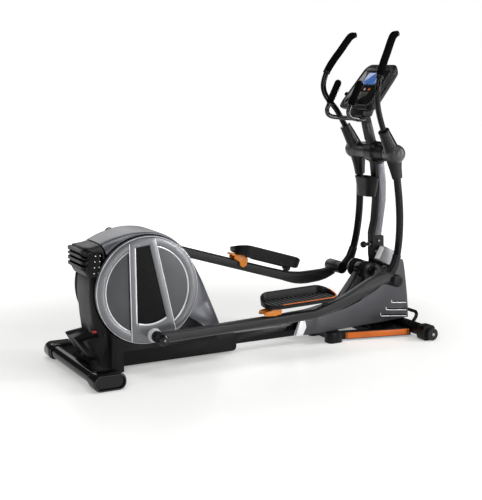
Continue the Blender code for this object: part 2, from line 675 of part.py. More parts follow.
def pedal_lever(on, name, side):
    """The adjuster under the rear of the pedal: a flat orange paddle hinged at its front end."""
    y0, y1 = side * ARM_Y - 0.028, side * ARM_Y + 0.028
    blade = [(-0.088, -0.002), (-0.084, -0.006), (0.006, -0.006), (0.008, 0.0), (0.006, 0.006),
             (-0.084, 0.006), (-0.088, 0.003)]
    body = prism("pedal_lever_" + name, blade, y0, y1, ORANGE_PLASTIC, on)
    ya, yb = side * ARM_Y - 0.0125, side * ARM_Y + 0.0125
    notch = [(-0.012, -0.02), (0.02, -0.02), (0.02, 0.02), (-0.012, 0.02)]
    return cut(body, prism("lever_notch_" + name, notch, ya, yb, ORANGE_PLASTIC, on))


# ---- rear frame and drive -------------------------------------------------------------------------------------
def rear_frame(on):
    """Rail, neck, fold knuckle, crank bearing and flywheel bracket, welded into one piece."""
    low = [(-0.2955, RAIL_LOW), (0.915, RAIL_LOW), (0.942, 0.118), (1.235, 0.118), (1.340, 0.236),
           (1.405, 0.325)]
    high = [(1.352, 0.372), (1.205, 0.190), (1.165, 0.166), (1.000, 0.164), (0.905, RAIL_HIGH),
            (-0.2955, RAIL_HIGH)]
    body = prism("rear_frame", low + high, -RAIL_HALF_WIDTH, RAIL_HALF_WIDTH, BLACK_PAINT, on)
    knuckle = turned("fold_knuckle", [(0.047, -0.0345), (0.047, 0.0345)], FOLD_X, FOLD_Z,
                     BLACK_PAINT, on)
    upright = prism("crank_upright", [(-0.075, 0.100), (0.075, 0.100), (0.024, AXLE_Z),
                                      (-0.024, AXLE_Z)], -0.014, 0.014, BLACK_PAINT, on)
    bearing = turned("crank_bearing", [(0.029, -0.062), (0.029, 0.062)], 0.0, AXLE_Z, BLACK_PAINT, on)
    bracket = prism("flywheel_bracket", [(0.030, 0.200), (0.050, 0.200), (FLYWHEEL_X, FLYWHEEL_Z - 0.018),
                                         (FLYWHEEL_X, FLYWHEEL_Z + 0.018), (0.025, 0.270)],
                    -0.013, 0.013, BLACK_PAINT, on)
    boss = turned("flywheel_boss", [(0.020, -0.030), (0.020, 0.030)], FLYWHEEL_X, FLYWHEEL_Z,
                  BLACK_PAINT, on, 16)
    fuse(body, knuckle, upright, bearing, bracket, boss)
    fold_bore = turned("fold_bore", [(0.015 + CLEAR, -0.1), (0.015 + CLEAR, 0.1)], FOLD_X, FOLD_Z,
                       STEEL, on)
    axle_bore = turned("axle_bore", [(0.0125 + CLEAR, -0.1), (0.0125 + CLEAR, 0.1)], 0.0, AXLE_Z,
                       STEEL, on)
    shaft_bore = turned("shaft_bore", [(0.008 + CLEAR, -0.1), (0.008 + CLEAR, 0.1)], FLYWHEEL_X,
                        FLYWHEEL_Z, STEEL, on, 16)
    return cut(body, fold_bore, axle_bore, shaft_bore)


def rail_cover(on):
    outline = rounded_box((-0.120, 0.014), (0.552, 0.1125), 0.022, 5)
    body = prism("rail_cover", outline, -0.044, 0.044, BLACK_PLASTIC, on)
    half = RAIL_HALF_WIDTH + GAP
    tunnel = prism("rail_tunnel", [(-0.5, RAIL_LOW - GAP), (1.0, RAIL_LOW - GAP),
                                   (1.0, RAIL_HIGH + GAP), (-0.5, RAIL_HIGH + GAP)],
                   -half, half, BLACK_PLASTIC, on)
    slot = prism("cover_slot", [(-0.085, 0.100), (0.085, 0.100), (0.085, 0.13), (-0.085, 0.13)],
                 -0.016, 0.016, BLACK_PLASTIC, on)
    return cut(body, tunnel, slot)


SHELL_RADIUS = 0.2765            # edge between the side shells and the silver shell


def housing_outline():
    """Side shell: a rear wall and a plinth around a round top, with a keel down to the floor behind."""
    keel = [(-0.350, 0.190), (-0.289, 0.084), (-0.283, 0.061), (-0.218, 0.020), (-0.134, 0.008),
            (-0.1215, 0.012)]
    plinth = [(-0.1215, HOUSING_LOW), (0.395, HOUSING_LOW), (0.395, 0.150), (0.330, 0.190)]
    top = arc(0.0, AXLE_Z, SHELL_RADIUS, -36, 137, 21) + arc(0.0, AXLE_Z, SHELL_RADIUS, 143.5, 150, 2)
    rear = [(-0.262, 0.516), (-0.276, 0.470), (-0.281, 0.400), (-0.272, 0.280), (-0.262, 0.202)]
    return keel + plinth + top + rear


def housing(on, name, side):
    outline = housing_outline()
    y0, y1 = band(side, GAP / 2, HOUSING_HALF_WIDTH)
    body = prism("housing_" + name, outline, y0, y1, BLACK_PLASTIC, on)
    y0, y1 = band(side, -0.01, HOUSING_HALF_WIDTH - WALL)
    hollow = prism("housing_hollow_" + name, inset(outline, WALL), y0, y1, BLACK_PLASTIC, on)
    y0, y1 = band(side, 0.0, 0.2)
    hole = turned("housing_hole_" + name, [(0.030, y0), (0.030, y1)], 0.0, AXLE_Z, BLACK_PLASTIC, on)
    y0, y1 = band(side, -0.01, 0.020)
    foot = prism("housing_foot_" + name, [(-0.082, 0.09), (0.082, 0.09), (0.082, 0.14), (-0.082, 0.14)],
                 y0, y1, BLACK_PLASTIC, on)
    y0, y1 = band(side, -0.01, 0.105)
    opening = arc(0.0, AXLE_Z, 0.395, -45, 151, 24) + [(0.0, AXLE_Z)]
    inside = prism("housing_inside_" + name, opening, y0, y1, BLACK_PLASTIC, on)
    y0, y1 = band(side, -0.01, RAIL_HALF_WIDTH + GAP)
    tunnel = prism("housing_tunnel_" + name, [(-0.36, 0.0), (-0.119, 0.0), (-0.119, RAIL_HIGH + GAP),
                                              (-0.36, RAIL_HIGH + GAP)], y0, y1, BLACK_PLASTIC, on)
    cut(body, hollow, hole, foot, inside, tunnel)
    if name == "right":
        button_hole = [[(x, BUTTON_Y + a, BUTTON_Z + b) for a, b in circle(0.0075 + CLEAR, 12)]
                       for x in (-0.30, -0.24)]
        cut(body, loft("button_hole", button_hole, BLACK_PLASTIC, on))
    return body


BUTTON_Y = -0.098
BUTTON_Z = 0.225


def reset_button(on):
    rings = [[(x, BUTTON_Y + a, BUTTON_Z + b) for a, b in circle(radius, 12)]
             for x, radius in ((-0.2500, 0.0075), (-0.2720, 0.0075), (-0.2740, 0.0060))]
    loft("reset_button", rings, RED_PLASTIC, on)


def fractions(line):
    """How far along a line each of its points lies, from 0 to 1."""
    reach = [0.0]
    for a, b in zip(line, line[1:]):
        reach.append(reach[-1] + math.dist(a, b))
    return [length / reach[-1] for length in reach]


def spread(line, places):
    """Points of a line near the given fractions of its length, with all of its corners among them."""
    own = fractions(line)
    places = list(places)
    for corner in own:
        nearest = min(range(len(places)), key=lambda k: abs(places[k] - corner))
        places[nearest] = corner
    points = []
    for place in places:
        i = max(k for k, start in enumerate(own[:-1]) if start <= place)
        share = (place - own[i]) / (own[i + 1] - own[i])
        points.append(tuple(Vector(line[i]).lerp(Vector(line[i + 1]), share)))
    return points


def top_shell(on):
    """The silver cover over the housing, from the vent corner over the top to the front skirt."""
    outer = [(0.440, 0.1535), (0.415, 0.230), (0.380, 0.320), (0.350, 0.385), (0.318, 0.448), (0.278, 0.515),
             (0.2290, 0.5880), (0.1635, 0.6515), (0.090, 0.691), (0.020, 0.704), (-0.060, 0.702),
             (-0.150, 0.682), (-0.219, 0.656)]
    inner = arc(0.0, AXLE_Z, SHELL_RADIUS + 4 * GAP, 137, -35.5, 21) + [(0.334, 0.1925), (0.397, 0.1535)]
    outline = outer + inner
    roof = spread(inset(outline, WALL)[:len(outer)][::-1], fractions(inner))
    side = [(0.1300, 0.0030), (0.1288, 0.0010), (0.1225, 0.0)]
    rings = [[(x, -y, z) for x, z in inset(outline, round_off)[:len(outer)] + inner]
             for y, round_off in side]
    rings.append([(x, -0.1225, z) for x, z in outer + roof])
    rings += [[(x, -y, z) for x, y, z in ring] for ring in reversed(rings)]
    loft("top_shell", rings, SILVER_PLASTIC, on)


def vent_corner(on):
    """The ribbed black vent block around the rear top corner."""
    inner = arc(0.0, AXLE_Z, SHELL_RADIUS + 2 * GAP, 149.5, 138.2, 4)
    outline = [(-0.2215, 0.6520), (-0.252, 0.645), (-0.300, 0.640), (-0.308, 0.600), (-0.308, 0.530),
               (-0.292, 0.500), (-0.2665, 0.5175)] + inner
    body = prism("vent_corner", outline, -0.134, 0.134, BLACK_PLASTIC, on)
    for number in range(4):
        z = 0.545 + 0.027 * number
        rib = [(-0.322, z - 0.007), (-0.300, z - 0.007), (-0.300, z + 0.007), (-0.322, z + 0.007)]
        fuse(body, prism(f"vent_rib_{number + 1}", rib, -0.120, 0.120, BLACK_PLASTIC, on))
    return body


def rear_stabilizer(on):
    turned("rear_stabilizer", [(TUBE_RADIUS, -REAR_TUBE_HALF), (TUBE_RADIUS, REAR_TUBE_HALF)],
           REAR_TUBE_X, TUBE_Z, BLACK_PAINT, on)


def rear_foot(on, name, side):
    y0, y1 = band(side, 0.285, 0.368)
    outline = rounded_box((-0.372, 0.0), (-0.206, 0.084), 0.034, 5)
    body = prism("rear_foot_" + name, outline, y0, y1, BLACK_PLASTIC, on)
    y0, y1 = band(side, 0.2, REAR_TUBE_HALF + GAP)
    return cut(body, turned("foot_bore_" + name, [(TUBE_RADIUS + GAP, y0), (TUBE_RADIUS + GAP, y1)],
                            REAR_TUBE_X, TUBE_Z, STEEL, on))


def crank_axle(on):
    """The axle with the large belt pulley on it."""
    profile = [(0.0125, -0.1355), (0.0125, 0.0700), (0.030, 0.0705), (0.030, 0.0760),
               (PULLEY_RADIUS, 0.0765), (PULLEY_RADIUS, 0.0935), (0.030, 0.0940), (0.030, 0.0990),
               (0.0125, 0.0995), (0.0125, 0.1355)]
    turned("crank_axle", profile, 0.0, AXLE_Z, STEEL, on, 28)


def crank_disc(on, name, side, pin_x, pin_z):
    steps = [(0.230, DISC_IN), (0.262, DISC_IN + 0.003), (DISC_RADIUS, 0.146), (DISC_RADIUS - 0.004, 0.158),
             (0.262, 0.160), (0.232, 0.160), (0.224, DISC_OUT - 0.003)]
    body = turned("crank_disc_" + name, [(radius, side * y) for radius, y in steps], 0.0, AXLE_Z,
                  GREY_PLASTIC, on, 44)
    y0, y1 = band(side, 0.140, ARM_IN - GAP)
    return fuse(body, turned("crank_pin_" + name, [(0.030, y0), (0.026, y1)], pin_x, pin_z,
                             STEEL, on, 20))


def flywheel(on):
    """Flywheel, shaft and small belt pulley, turned in one piece."""
    profile = [(0.0080, -0.0790), (0.0080, -0.0640), (0.025, -0.0635), (0.025, -0.0600),
               (FLYWHEEL_RADIUS, -0.0595), (FLYWHEEL_RADIUS, -0.0375), (0.025, -0.0370),
               (0.025, -0.0310), (0.0080, -0.0305), (0.0080, 0.0750), (SMALL_PULLEY_RADIUS, 0.0755),
               (SMALL_PULLEY_RADIUS, 0.0945), (0.0080, 0.0950), (0.0080, 0.1050)]
    turned("flywheel", profile, FLYWHEEL_X, FLYWHEEL_Z, STEEL, on, 24)


def belt_loop(offset):
    """The line of the belt round both pulleys, moved outwards by offset."""
    away = Vector((FLYWHEEL_X, FLYWHEEL_Z - AXLE_Z))
    heading = math.degrees(math.atan2(away.y, away.x))
    lean = math.degrees(math.acos((PULLEY_RADIUS - SMALL_PULLEY_RADIUS) / away.length))
    large = arc(0.0, AXLE_Z, PULLEY_RADIUS + offset, heading + lean, heading + 360 - lean, 22)
    small = arc(FLYWHEEL_X, FLYWHEEL_Z, SMALL_PULLEY_RADIUS + offset, heading - lean, heading + lean, 8)
    return large + small


def drive_belt(on):
    rings = []
    for offset, y in ((0.0045, 0.0790), (0.0045, 0.0910), (0.0012, 0.0910), (0.0012, 0.0790)):
        rings.append([(x, y, z) for x, z in belt_loop(offset)])
    loft("drive_belt", rings, RUBBER, on, closed=True)


def brake_magnet(on):
    """The magnet shoe of the eddy-current brake, beside the flywheel's rim."""
    outer = arc(FLYWHEEL_X, FLYWHEEL_Z, FLYWHEEL_RADIUS + 0.024, -80, -20, 8)
    inner = arc(FLYWHEEL_X, FLYWHEEL_Z, FLYWHEEL_RADIUS + 0.003, -20, -80, 8)
    prism("brake_magnet", outer + inner, -0.064, -0.033, STEEL, on)


# ---- assembly -----------------------------------------------------------------------------------------------------
def build_front(machine):
    base_frame(machine)
    front_stabilizer(machine)
    upright_post(machine)
    mast_cover(machine)
    swing_axle(machine)
    lift_motor(machine)
    fold_barrel(machine)
    bottle_holder(machine)
    latch_knob(pivot("latch", machine, (1.399, 0.0, 0.510)))
    for name, side in SIDES.items():
        base_trim(machine, name, side)
        stabilizer_cap(machine, name, side)
        shroud(machine, name, side)
        wheel = pivot("wheel_" + name, machine, (1.624, side * 0.333, 0.037))
        transport_wheel(wheel, name, side)


def build_console(machine):
    console_housing(machine)
    console_face(machine)
    display_lens(machine)
    grip_bar(machine)
    for number, across in enumerate(KEY_ACROSS):
        spot = pivot(f"key_{number + 1}", machine, on_face(KEY_UP, across, 0.0))
        console_key(spot, number + 1, across)
    for name, side in SIDES.items():
        pulse_grip(machine, name, side)


def build_rear(machine):
    fold = pivot("fold", machine, (FOLD_X, 0.0, FOLD_Z))
    rear_frame(fold)
    rail_cover(fold)
    top_shell(fold)
    vent_corner(fold)
    rear_stabilizer(fold)
    drive_belt(fold)
    brake_magnet(fold)
    reset_button(pivot("reset", fold, (-0.262, BUTTON_Y, BUTTON_Z)))
    flywheel(pivot("fly_shaft", fold, (FLYWHEEL_X, 0.0, FLYWHEEL_Z)))
    crank = pivot("crank", fold, (0.0, 0.0, AXLE_Z))
    crank_axle(crank)
    for name, side in SIDES.items():
        housing(fold, name, side)
        rear_foot(fold, name, side)
        pin_x, pin_z = crank_pin(side)
        crank_disc(crank, name, side, pin_x, pin_z)


def crank_pin(side):
    """Place of a side's crank pin: the right pin is low, the left one opposite."""
    return (-side * CRANK_RADIUS * math.sin(CRANK_PHASE),
            AXLE_Z + side * CRANK_RADIUS * math.cos(CRANK_PHASE))


def build_side(machine, name, side):
    """One swing arm with its hinge pin, pedal arm, pedal and adjuster."""
    pin_x, pin_z = crank_pin(side)
    hinge_x, hinge_z = two_link(pin_x, pin_z)
    lean = math.asin((PIVOT_X - hinge_x) / LEG_LENGTH)
    swing = pivot("swing_" + name, machine, (PIVOT_X, 0.0, PIVOT_Z), lean, True)
    swing_hub(swing, name, side)
    handlebar(swing, name, side)
    leg(swing, name, side)
    slope = math.atan2(hinge_z - pin_z, hinge_x - pin_x)
    pin = pivot("pin_" + name, machine, (hinge_x, 0.0, hinge_z), -slope, True)
    hinge_pin(pin, name, side)
    arm = pivot("arm_" + name, machine, (hinge_x, 0.0, hinge_z), -slope, True)
    pedal_arm(arm, name, side)
    for part, (x, z) in (("pedal", TRAY_PIVOT[name]), ("lever", LEVER_PIVOT[name])):
        back = Vector((x - ARM_LENGTH, 0.0, z))
        back.rotate(arm.rotation_euler)
        spot = pivot(f"{part}_{name}", machine, Vector((hinge_x, 0.0, hinge_z)) + back,
                     -slope - TRAY_ANGLE, True)
        if part == "pedal":
            pedal_tray(spot, name, side)
            pedal_mat(spot, name, side)
        else:
            pedal_lever(spot, name, side)


def main():
    clear_scene()
    machine = pivot("machine")
    build_front(machine)
    build_console(machine)
    build_rear(machine)
    for name, side in SIDES.items():
        build_side(machine, name, side)
    machine.location = (-FOOTPRINT_CENTRE_X, 0.0, 0.0)
    bpy.context.view_layer.update()


main()
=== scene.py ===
"""Looks of the folding elliptical trainer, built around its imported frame. Metres, +Z up.

Layout coordinates run as in the part: X forward of the crank axle, Y to the user's left, Z up."""
import json
import math

import bmesh
import bpy
from mathutils import Matrix, Vector


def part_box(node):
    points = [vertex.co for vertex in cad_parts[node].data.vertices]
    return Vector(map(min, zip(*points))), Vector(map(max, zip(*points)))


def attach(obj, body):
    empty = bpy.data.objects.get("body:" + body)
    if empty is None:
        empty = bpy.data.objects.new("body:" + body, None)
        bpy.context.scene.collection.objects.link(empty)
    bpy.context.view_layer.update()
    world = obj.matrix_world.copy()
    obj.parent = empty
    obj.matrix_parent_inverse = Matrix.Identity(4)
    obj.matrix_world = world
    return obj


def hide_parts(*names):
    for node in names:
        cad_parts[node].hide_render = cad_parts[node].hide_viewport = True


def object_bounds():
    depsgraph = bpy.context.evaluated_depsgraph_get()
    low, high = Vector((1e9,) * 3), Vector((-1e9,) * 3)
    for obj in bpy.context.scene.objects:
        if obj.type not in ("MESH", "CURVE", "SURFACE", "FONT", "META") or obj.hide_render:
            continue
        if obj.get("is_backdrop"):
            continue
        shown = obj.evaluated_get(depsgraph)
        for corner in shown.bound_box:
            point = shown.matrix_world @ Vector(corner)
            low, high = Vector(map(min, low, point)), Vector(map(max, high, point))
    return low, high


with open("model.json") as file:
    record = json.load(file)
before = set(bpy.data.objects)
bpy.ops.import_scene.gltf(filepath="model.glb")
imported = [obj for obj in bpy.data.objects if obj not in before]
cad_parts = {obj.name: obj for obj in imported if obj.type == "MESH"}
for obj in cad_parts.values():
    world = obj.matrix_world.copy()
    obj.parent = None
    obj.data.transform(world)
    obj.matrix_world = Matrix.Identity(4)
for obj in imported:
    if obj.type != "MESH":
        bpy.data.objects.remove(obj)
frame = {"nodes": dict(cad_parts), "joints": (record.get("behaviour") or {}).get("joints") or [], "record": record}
cad_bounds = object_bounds()

JOINT = {joint["name"]: Vector(joint["pos_m"]) for joint in frame["joints"]}
BODY_OF = {node: body for body, nodes in frame["record"]["behaviour"]["bodies"].items() for node in nodes}
SIDES = {"right": -1.0, "left": 1.0}

# ---- driving dimensions ----
AXLE_X = JOINT["crank_spin"].x
AXLE_Z = JOINT["crank_spin"].z
CRANK_PHASE = math.radians(6.7)      # right crank pin, forward of straight down
CRANK_RADIUS = 0.2306                # axle to crank pin
SHELL_RADIUS = 0.2765                # wall of the shell round a disc
TRAY_ANGLE = math.radians(-5.0)
TRAY_LENGTH = 0.43
TRAY_WIDTH = 0.168
TRAY_FLOOR = 0.013                   # above the pedal's hinge
TRAY_FRONT = 0.058                   # ahead of the pedal's hinge
LEVER_CUT = 0.28                     # share taken off the part of a lever behind its hinge
CONSOLE_FOOT = Vector((1.3, 0.0, 1.275))
CONSOLE_HEAD = Vector((1.485, 0.0, 1.5))

CAMERA_PLACE = (-2.097, -5.007, 1.545)   # layout coordinates
CAMERA_YAW = math.radians(28.336)
CAMERA_PITCH = math.radians(9.985)
FOCAL_LENGTH = 78.7752                   # millimetres
SENSOR = 36.0
LEFT = Vector((0.0, 1.0, 0.0))


def lay(x, y, z):
    """A world point from layout coordinates."""
    return Vector((AXLE_X + x, y, z))


def in_middle(point):
    """A point moved sideways to the machine's middle plane."""
    return Vector((point.x, 0.0, point.z))


# ---- materials ----
def node_at(tree, kind, **values):
    node = tree.nodes.new(kind)
    for key, value in values.items():
        node.inputs[key].default_value = value
    return node


def surface(name, colour, roughness, metallic=0.0, grain=900.0, bump=0.06, blotch=0.12, coat=0.0,
            spread=0.08, specular=0.5, flake=0.0, stretch=(1.0, 1.0, 1.0)):
    """A finish with mottled colour, uneven gloss and a moulded or sprayed grain."""
    material = bpy.data.materials.new(name)
    material.use_nodes = True
    tree = material.node_tree
    shader = tree.nodes["Principled BSDF"]
    shader.inputs["Metallic"].default_value = metallic
    shader.inputs["Specular IOR Level"].default_value = specular
    if coat:
        shader.inputs["Coat Weight"].default_value = coat
        shader.inputs["Coat Roughness"].default_value = 0.08
    place = tree.nodes.new("ShaderNodeTexCoord")
    scaled = node_at(tree, "ShaderNodeMapping", Scale=stretch)
    tree.links.new(place.outputs["Object"], scaled.inputs["Vector"])
    cloud = node_at(tree, "ShaderNodeTexNoise", Scale=9.0, Detail=4.0, Roughness=0.6)
    fine = node_at(tree, "ShaderNodeTexNoise", Scale=grain, Detail=2.0)
    for texture in (cloud, fine):
        tree.links.new(scaled.outputs["Vector"], texture.inputs["Vector"])
    ramp = tree.nodes.new("ShaderNodeValToRGB")
    for stop, place_at, share in zip(ramp.color_ramp.elements, (0.3, 0.7), (1 - blotch, 1 + blotch)):
        stop.position = place_at
        stop.color = (*[min(1.0, c * share) for c in colour], 1.0)
    tree.links.new(cloud.outputs["Fac"], ramp.inputs["Fac"])
    paint = ramp.outputs["Color"]
    if flake:
        sparkle = tree.nodes.new("ShaderNodeValToRGB")
        for stop, place_at, level in zip(sparkle.color_ramp.elements, (0.45, 0.62), (1 - flake, 1.0)):
            stop.position = place_at
            stop.color = (level, level, level, 1.0)
        tree.links.new(fine.outputs["Fac"], sparkle.inputs["Fac"])
        mix = tree.nodes.new("ShaderNodeMix")
        mix.data_type = "RGBA"
        mix.blend_type = "MULTIPLY"
        mix.inputs["Factor"].default_value = 1.0
        tree.links.new(paint, mix.inputs[6])
        tree.links.new(sparkle.outputs["Color"], mix.inputs[7])
        paint = mix.outputs[2]
    tree.links.new(paint, shader.inputs["Base Color"])
    gloss = tree.nodes.new("ShaderNodeMapRange")
    gloss.inputs["To Min"].default_value = max(0.02, roughness - spread)
    gloss.inputs["To Max"].default_value = min(1.0, roughness + spread)
    tree.links.new(cloud.outputs["Fac"], gloss.inputs["Value"])
    tree.links.new(gloss.outputs["Result"], shader.inputs["Roughness"])
    relief = node_at(tree, "ShaderNodeBump", Strength=bump, Distance=0.0004)
    tree.links.new(fine.outputs["Fac"], relief.inputs["Height"])
    tree.links.new(relief.outputs["Normal"], shader.inputs["Normal"])
    return material


BLACK_PAINT = surface("satin_black_paint", (0.0034, 0.0034, 0.0038), 0.16, grain=1400,
                      bump=0.002, spread=0.02, specular=0.16)
POST_PAINT = surface("matt_black_post", (0.005, 0.005, 0.0054), 0.48, grain=1400, bump=0.01,
                     spread=0.04, specular=0.16)
ARM_PAINT = surface("charcoal_arm_paint", (0.0125, 0.0125, 0.0138), 0.36, grain=1600,
                    bump=0.02, spread=0.04, specular=0.3)
BLACK_PLASTIC = surface("grained_black_plastic", (0.003, 0.003, 0.0033), 0.38, grain=1100,
                        bump=0.05, specular=0.18)
HUB_PLASTIC = surface("charcoal_hub_plastic", (0.0065, 0.0065, 0.007), 0.32, grain=1100,
                      bump=0.04, specular=0.26)
HUB_BALL = surface("hub_ball_plastic", (0.04, 0.04, 0.043), 0.34, grain=1100, bump=0.12,
                   specular=0.35)
GLOSS_BLACK = surface("gloss_black_plastic", (0.003, 0.003, 0.0032), 0.14, grain=300,
                      bump=0.02, spread=0.04, specular=0.35)
WINDOW_BLACK = surface("window_black", (0.002, 0.002, 0.002), 0.22, grain=300, bump=0.01,
                       spread=0.04, specular=0.12)
SHROUD_GREY = surface("shroud_grey", (0.056, 0.056, 0.062), 0.34, metallic=0.6, grain=2200,
                      bump=0.03, blotch=0.05, flake=0.04, specular=0.35)
MOTOR_GREY = surface("motor_case_grey", (0.3, 0.3, 0.315), 0.35, grain=1500, bump=0.06,
                     flake=0.1)
# Pale plate colour: a painted reflection off the motor's polished face.
MOTOR_PLATE_PAINTED_REFLECTION = surface("motor_plate_painted_reflection", (0.88, 0.88, 0.89), 0.35, grain=900, bump=0.03,
                      blotch=0.03)
DISC_GREY = surface("disc_ring_grey", (0.165, 0.168, 0.178), 0.3, metallic=0.6, grain=2400,
                    bump=0.02, blotch=0.04, flake=0.03)
PANEL_GREY = surface("disc_panel_grey", (0.058, 0.059, 0.063), 0.34, metallic=0.45, grain=2400,
                     bump=0.03, blotch=0.1, flake=0.04)
SILVER = surface("silver_paint", (0.125, 0.127, 0.142), 0.34, metallic=0.7, grain=2600,
                 bump=0.015, blotch=0.04, flake=0.02)
# Pale trim; the same white also paints highlights: the lips and edge lines of the discs and the sill under each
# window.
TRIM_AND_PAINTED_HIGHLIGHT = surface("bright_trim_and_painted_highlight", (0.8, 0.805, 0.83), 0.26, metallic=0.3, grain=900, bump=0.03,
                 spread=0.05)
ORANGE = surface("orange_plastic", (0.56, 0.12, 0.008), 0.38, grain=1000, bump=0.1,
                 blotch=0.15, specular=0.35)
LEVER_ORANGE = surface("lever_orange", (0.64, 0.195, 0.012), 0.34, grain=1000, bump=0.06,
                       blotch=0.12, specular=0.4)
RUBBER = surface("black_rubber", (0.008, 0.008, 0.0082), 0.6, grain=700, bump=0.25, specular=0.3)
# Grey ribs on a black mat: the grey paints the highlights on the rib tops.
MAT_RIB_PAINTED_HIGHLIGHT = surface("ribbed_mat_painted_highlight", (0.055, 0.055, 0.058), 0.48, grain=900, bump=0.1,
                   specular=0.3)
FOAM = surface("closed_cell_foam", (0.0022, 0.0022, 0.0024), 0.85, grain=700, bump=0.01,
               specular=0.02)
STEEL = surface("machined_steel", (0.3, 0.3, 0.31), 0.28, metallic=1.0, grain=500, bump=0.08,
                stretch=(1.0, 12.0, 1.0))
GRIP_CHROME = surface("dark_chrome", (0.05, 0.05, 0.054), 0.2, metallic=0.9, grain=500,
                      bump=0.004, spread=0.03)
RED = surface("red_button", (0.42, 0.02, 0.015), 0.35, grain=800, bump=0.05)
BEZEL = surface("console_bezel", (0.01, 0.01, 0.011), 0.4, metallic=0.1, grain=1500,
                bump=0.1, flake=0.15, specular=0.3)
PANEL_VEE = surface("console_vee_panel", (0.045, 0.043, 0.042), 0.42, metallic=0.1,
                    grain=1200, bump=0.08, specular=0.3)
KEY_WHITE = surface("key_cap", (0.62, 0.47, 0.4), 0.4, grain=700, bump=0.03)
# Near-black and almost unreflecting: painted shade put in gaps, grooves, slots and seams, and under the mat ribs.
PAINTED_RECESS_SHADE = surface("painted_recess_shade", (0.001, 0.001, 0.001), 0.8, grain=500, bump=0.02,
                    specular=0.05)


def display_material():
    """A backlit blue display under a clear lens: rows of pale segments on deep blue."""
    material = bpy.data.materials.new("blue_display")
    material.use_nodes = True
    tree = material.node_tree
    shader = tree.nodes["Principled BSDF"]
    shader.inputs["Roughness"].default_value = 0.12
    shader.inputs["Emission Strength"].default_value = 0.1
    place = tree.nodes.new("ShaderNodeTexCoord")
    scaled = node_at(tree, "ShaderNodeMapping", Scale=(1.0, 1.6, 1.0))
    cells = node_at(tree, "ShaderNodeTexBrick", Scale=42.0, **{"Mortar Size": 0.09, "Bias": -0.3})
    cells.inputs["Color1"].default_value = (0.075, 0.19, 0.52, 1.0)
    cells.inputs["Color2"].default_value = (0.26, 0.42, 0.76, 1.0)
    cells.inputs["Mortar"].default_value = (0.04, 0.11, 0.36, 1.0)
    tree.links.new(place.outputs["Object"], scaled.inputs["Vector"])
    tree.links.new(scaled.outputs["Vector"], cells.inputs["Vector"])
    tree.links.new(cells.outputs["Color"], shader.inputs["Base Color"])
    tree.links.new(cells.outputs["Color"], shader.inputs["Emission Color"])
    return material


# ---- mesh helpers ----
def piece(name, work, material, body, stands_for=(), bevel=0.0, segments=2, limit=30.0, sharp=38.0):
    """Turns a bmesh into a finished object that rides on a body and stands for some CAD nodes."""
    bmesh.ops.remove_doubles(work, verts=work.verts, dist=0.000002)
    bmesh.ops.recalc_face_normals(work, faces=work.faces)
    if bevel:
        hard = [edge for edge in work.edges if len(edge.link_faces) == 2
                and edge.calc_face_angle(0.0) > math.radians(limit)]
        bmesh.ops.bevel(work, geom=hard, offset=bevel, segments=segments, profile=0.5, affect="EDGES",
                        clamp_overlap=True)
        bmesh.ops.recalc_face_normals(work, faces=work.faces)
    mesh = bpy.data.meshes.new(name)
    work.to_mesh(mesh)
    work.free()
    mesh.shade_smooth()
    mesh.set_sharp_from_angle(angle=math.radians(sharp))
    mesh.materials.append(material)
    thing = bpy.data.objects.new(name, mesh)
    bpy.context.scene.collection.objects.link(thing)
    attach(thing, body)
    if stands_for:
        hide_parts(*stands_for)
    return thing


def softened(node, material, bevel=0.003, segments=2, shape=None):
    """A copy of a CAD node with its flat faces joined and its edges rounded."""
    work = bmesh.new()
    work.from_mesh(frame["nodes"][node].data)
    bmesh.ops.remove_doubles(work, verts=work.verts, dist=0.00001)
    bmesh.ops.dissolve_limit(work, angle_limit=math.radians(1.0), verts=work.verts, edges=work.edges)
    if shape:
        shape(work)
    piece(node + "_finish", work, material, BODY_OF[node], (node,), bevel, segments)


def add_rings(work, rings, closed=False, caps=True):
    layers = [[work.verts.new(point) for point in ring] for ring in rings]
    count = len(rings[0])
    pairs = list(zip(layers, layers[1:]))
    if closed:
        pairs.append((layers[-1], layers[0]))
    elif caps:
        work.faces.new(layers[0])
        work.faces.new(layers[-1])
    for low, high in pairs:
        for i in range(count):
            j = (i + 1) % count
            work.faces.new((low[i], low[j], high[j], high[i]))
    return work


def loft(rings, closed=False):
    return add_rings(bmesh.new(), rings, closed)


def circle(radius, sides, start=0.0):
    step = 2.0 * math.pi / sides
    return [(radius * math.cos(start + i * step), radius * math.sin(start + i * step)) for i in range(sides)]


def arc(x, z, radius, start, end, count):
    angles = [math.radians(start + (end - start) * i / (count - 1)) for i in range(count)]
    return [(x + radius * math.cos(a), z + radius * math.sin(a)) for a in angles]


def rounded_box(low, high, radius, count=6):
    centres = ((high[0] - radius, high[1] - radius, 0), (low[0] + radius, high[1] - radius, 90),
               (low[0] + radius, low[1] + radius, 180), (high[0] - radius, low[1] + radius, 270))
    points = []
    for a, b, start in centres:
        points += arc(a, b, radius, start, start + 90, count)
    return points


def spun(profile, centre, sides, side=1.0):
    """Rings of a profile of (radius, y offset) turned about the line along Y through centre."""
    return [[centre + Vector((a, side * y, b)) for a, b in circle(radius, sides)] for radius, y in profile]


def turned(profile, centre, sides=72, closed=False, side=1.0):
    return loft(spun(profile, centre, sides, side), closed)


def prism(outline, y_from, y_to):
    """An (x, z) layout outline between two planes."""
    return loft([[lay(x, y, z) for x, z in outline] for y in (y_from, y_to)])


def smooth_path(points, steps):
    line = [Vector(p) for p in points]
    line = [line[0] * 2 - line[1]] + line + [line[-1] * 2 - line[-2]]
    path = []
    for i in range(1, len(line) - 2):
        a, b, c, d = line[i - 1:i + 3]
        for step in range(steps):
            t = step / steps
            path.append(0.5 * (2 * b + (c - a) * t + (2 * a - 5 * b + 4 * c - d) * t * t
                               + (3 * b - 3 * c + d - a) * t * t * t))
    path.append(line[-2])
    return path


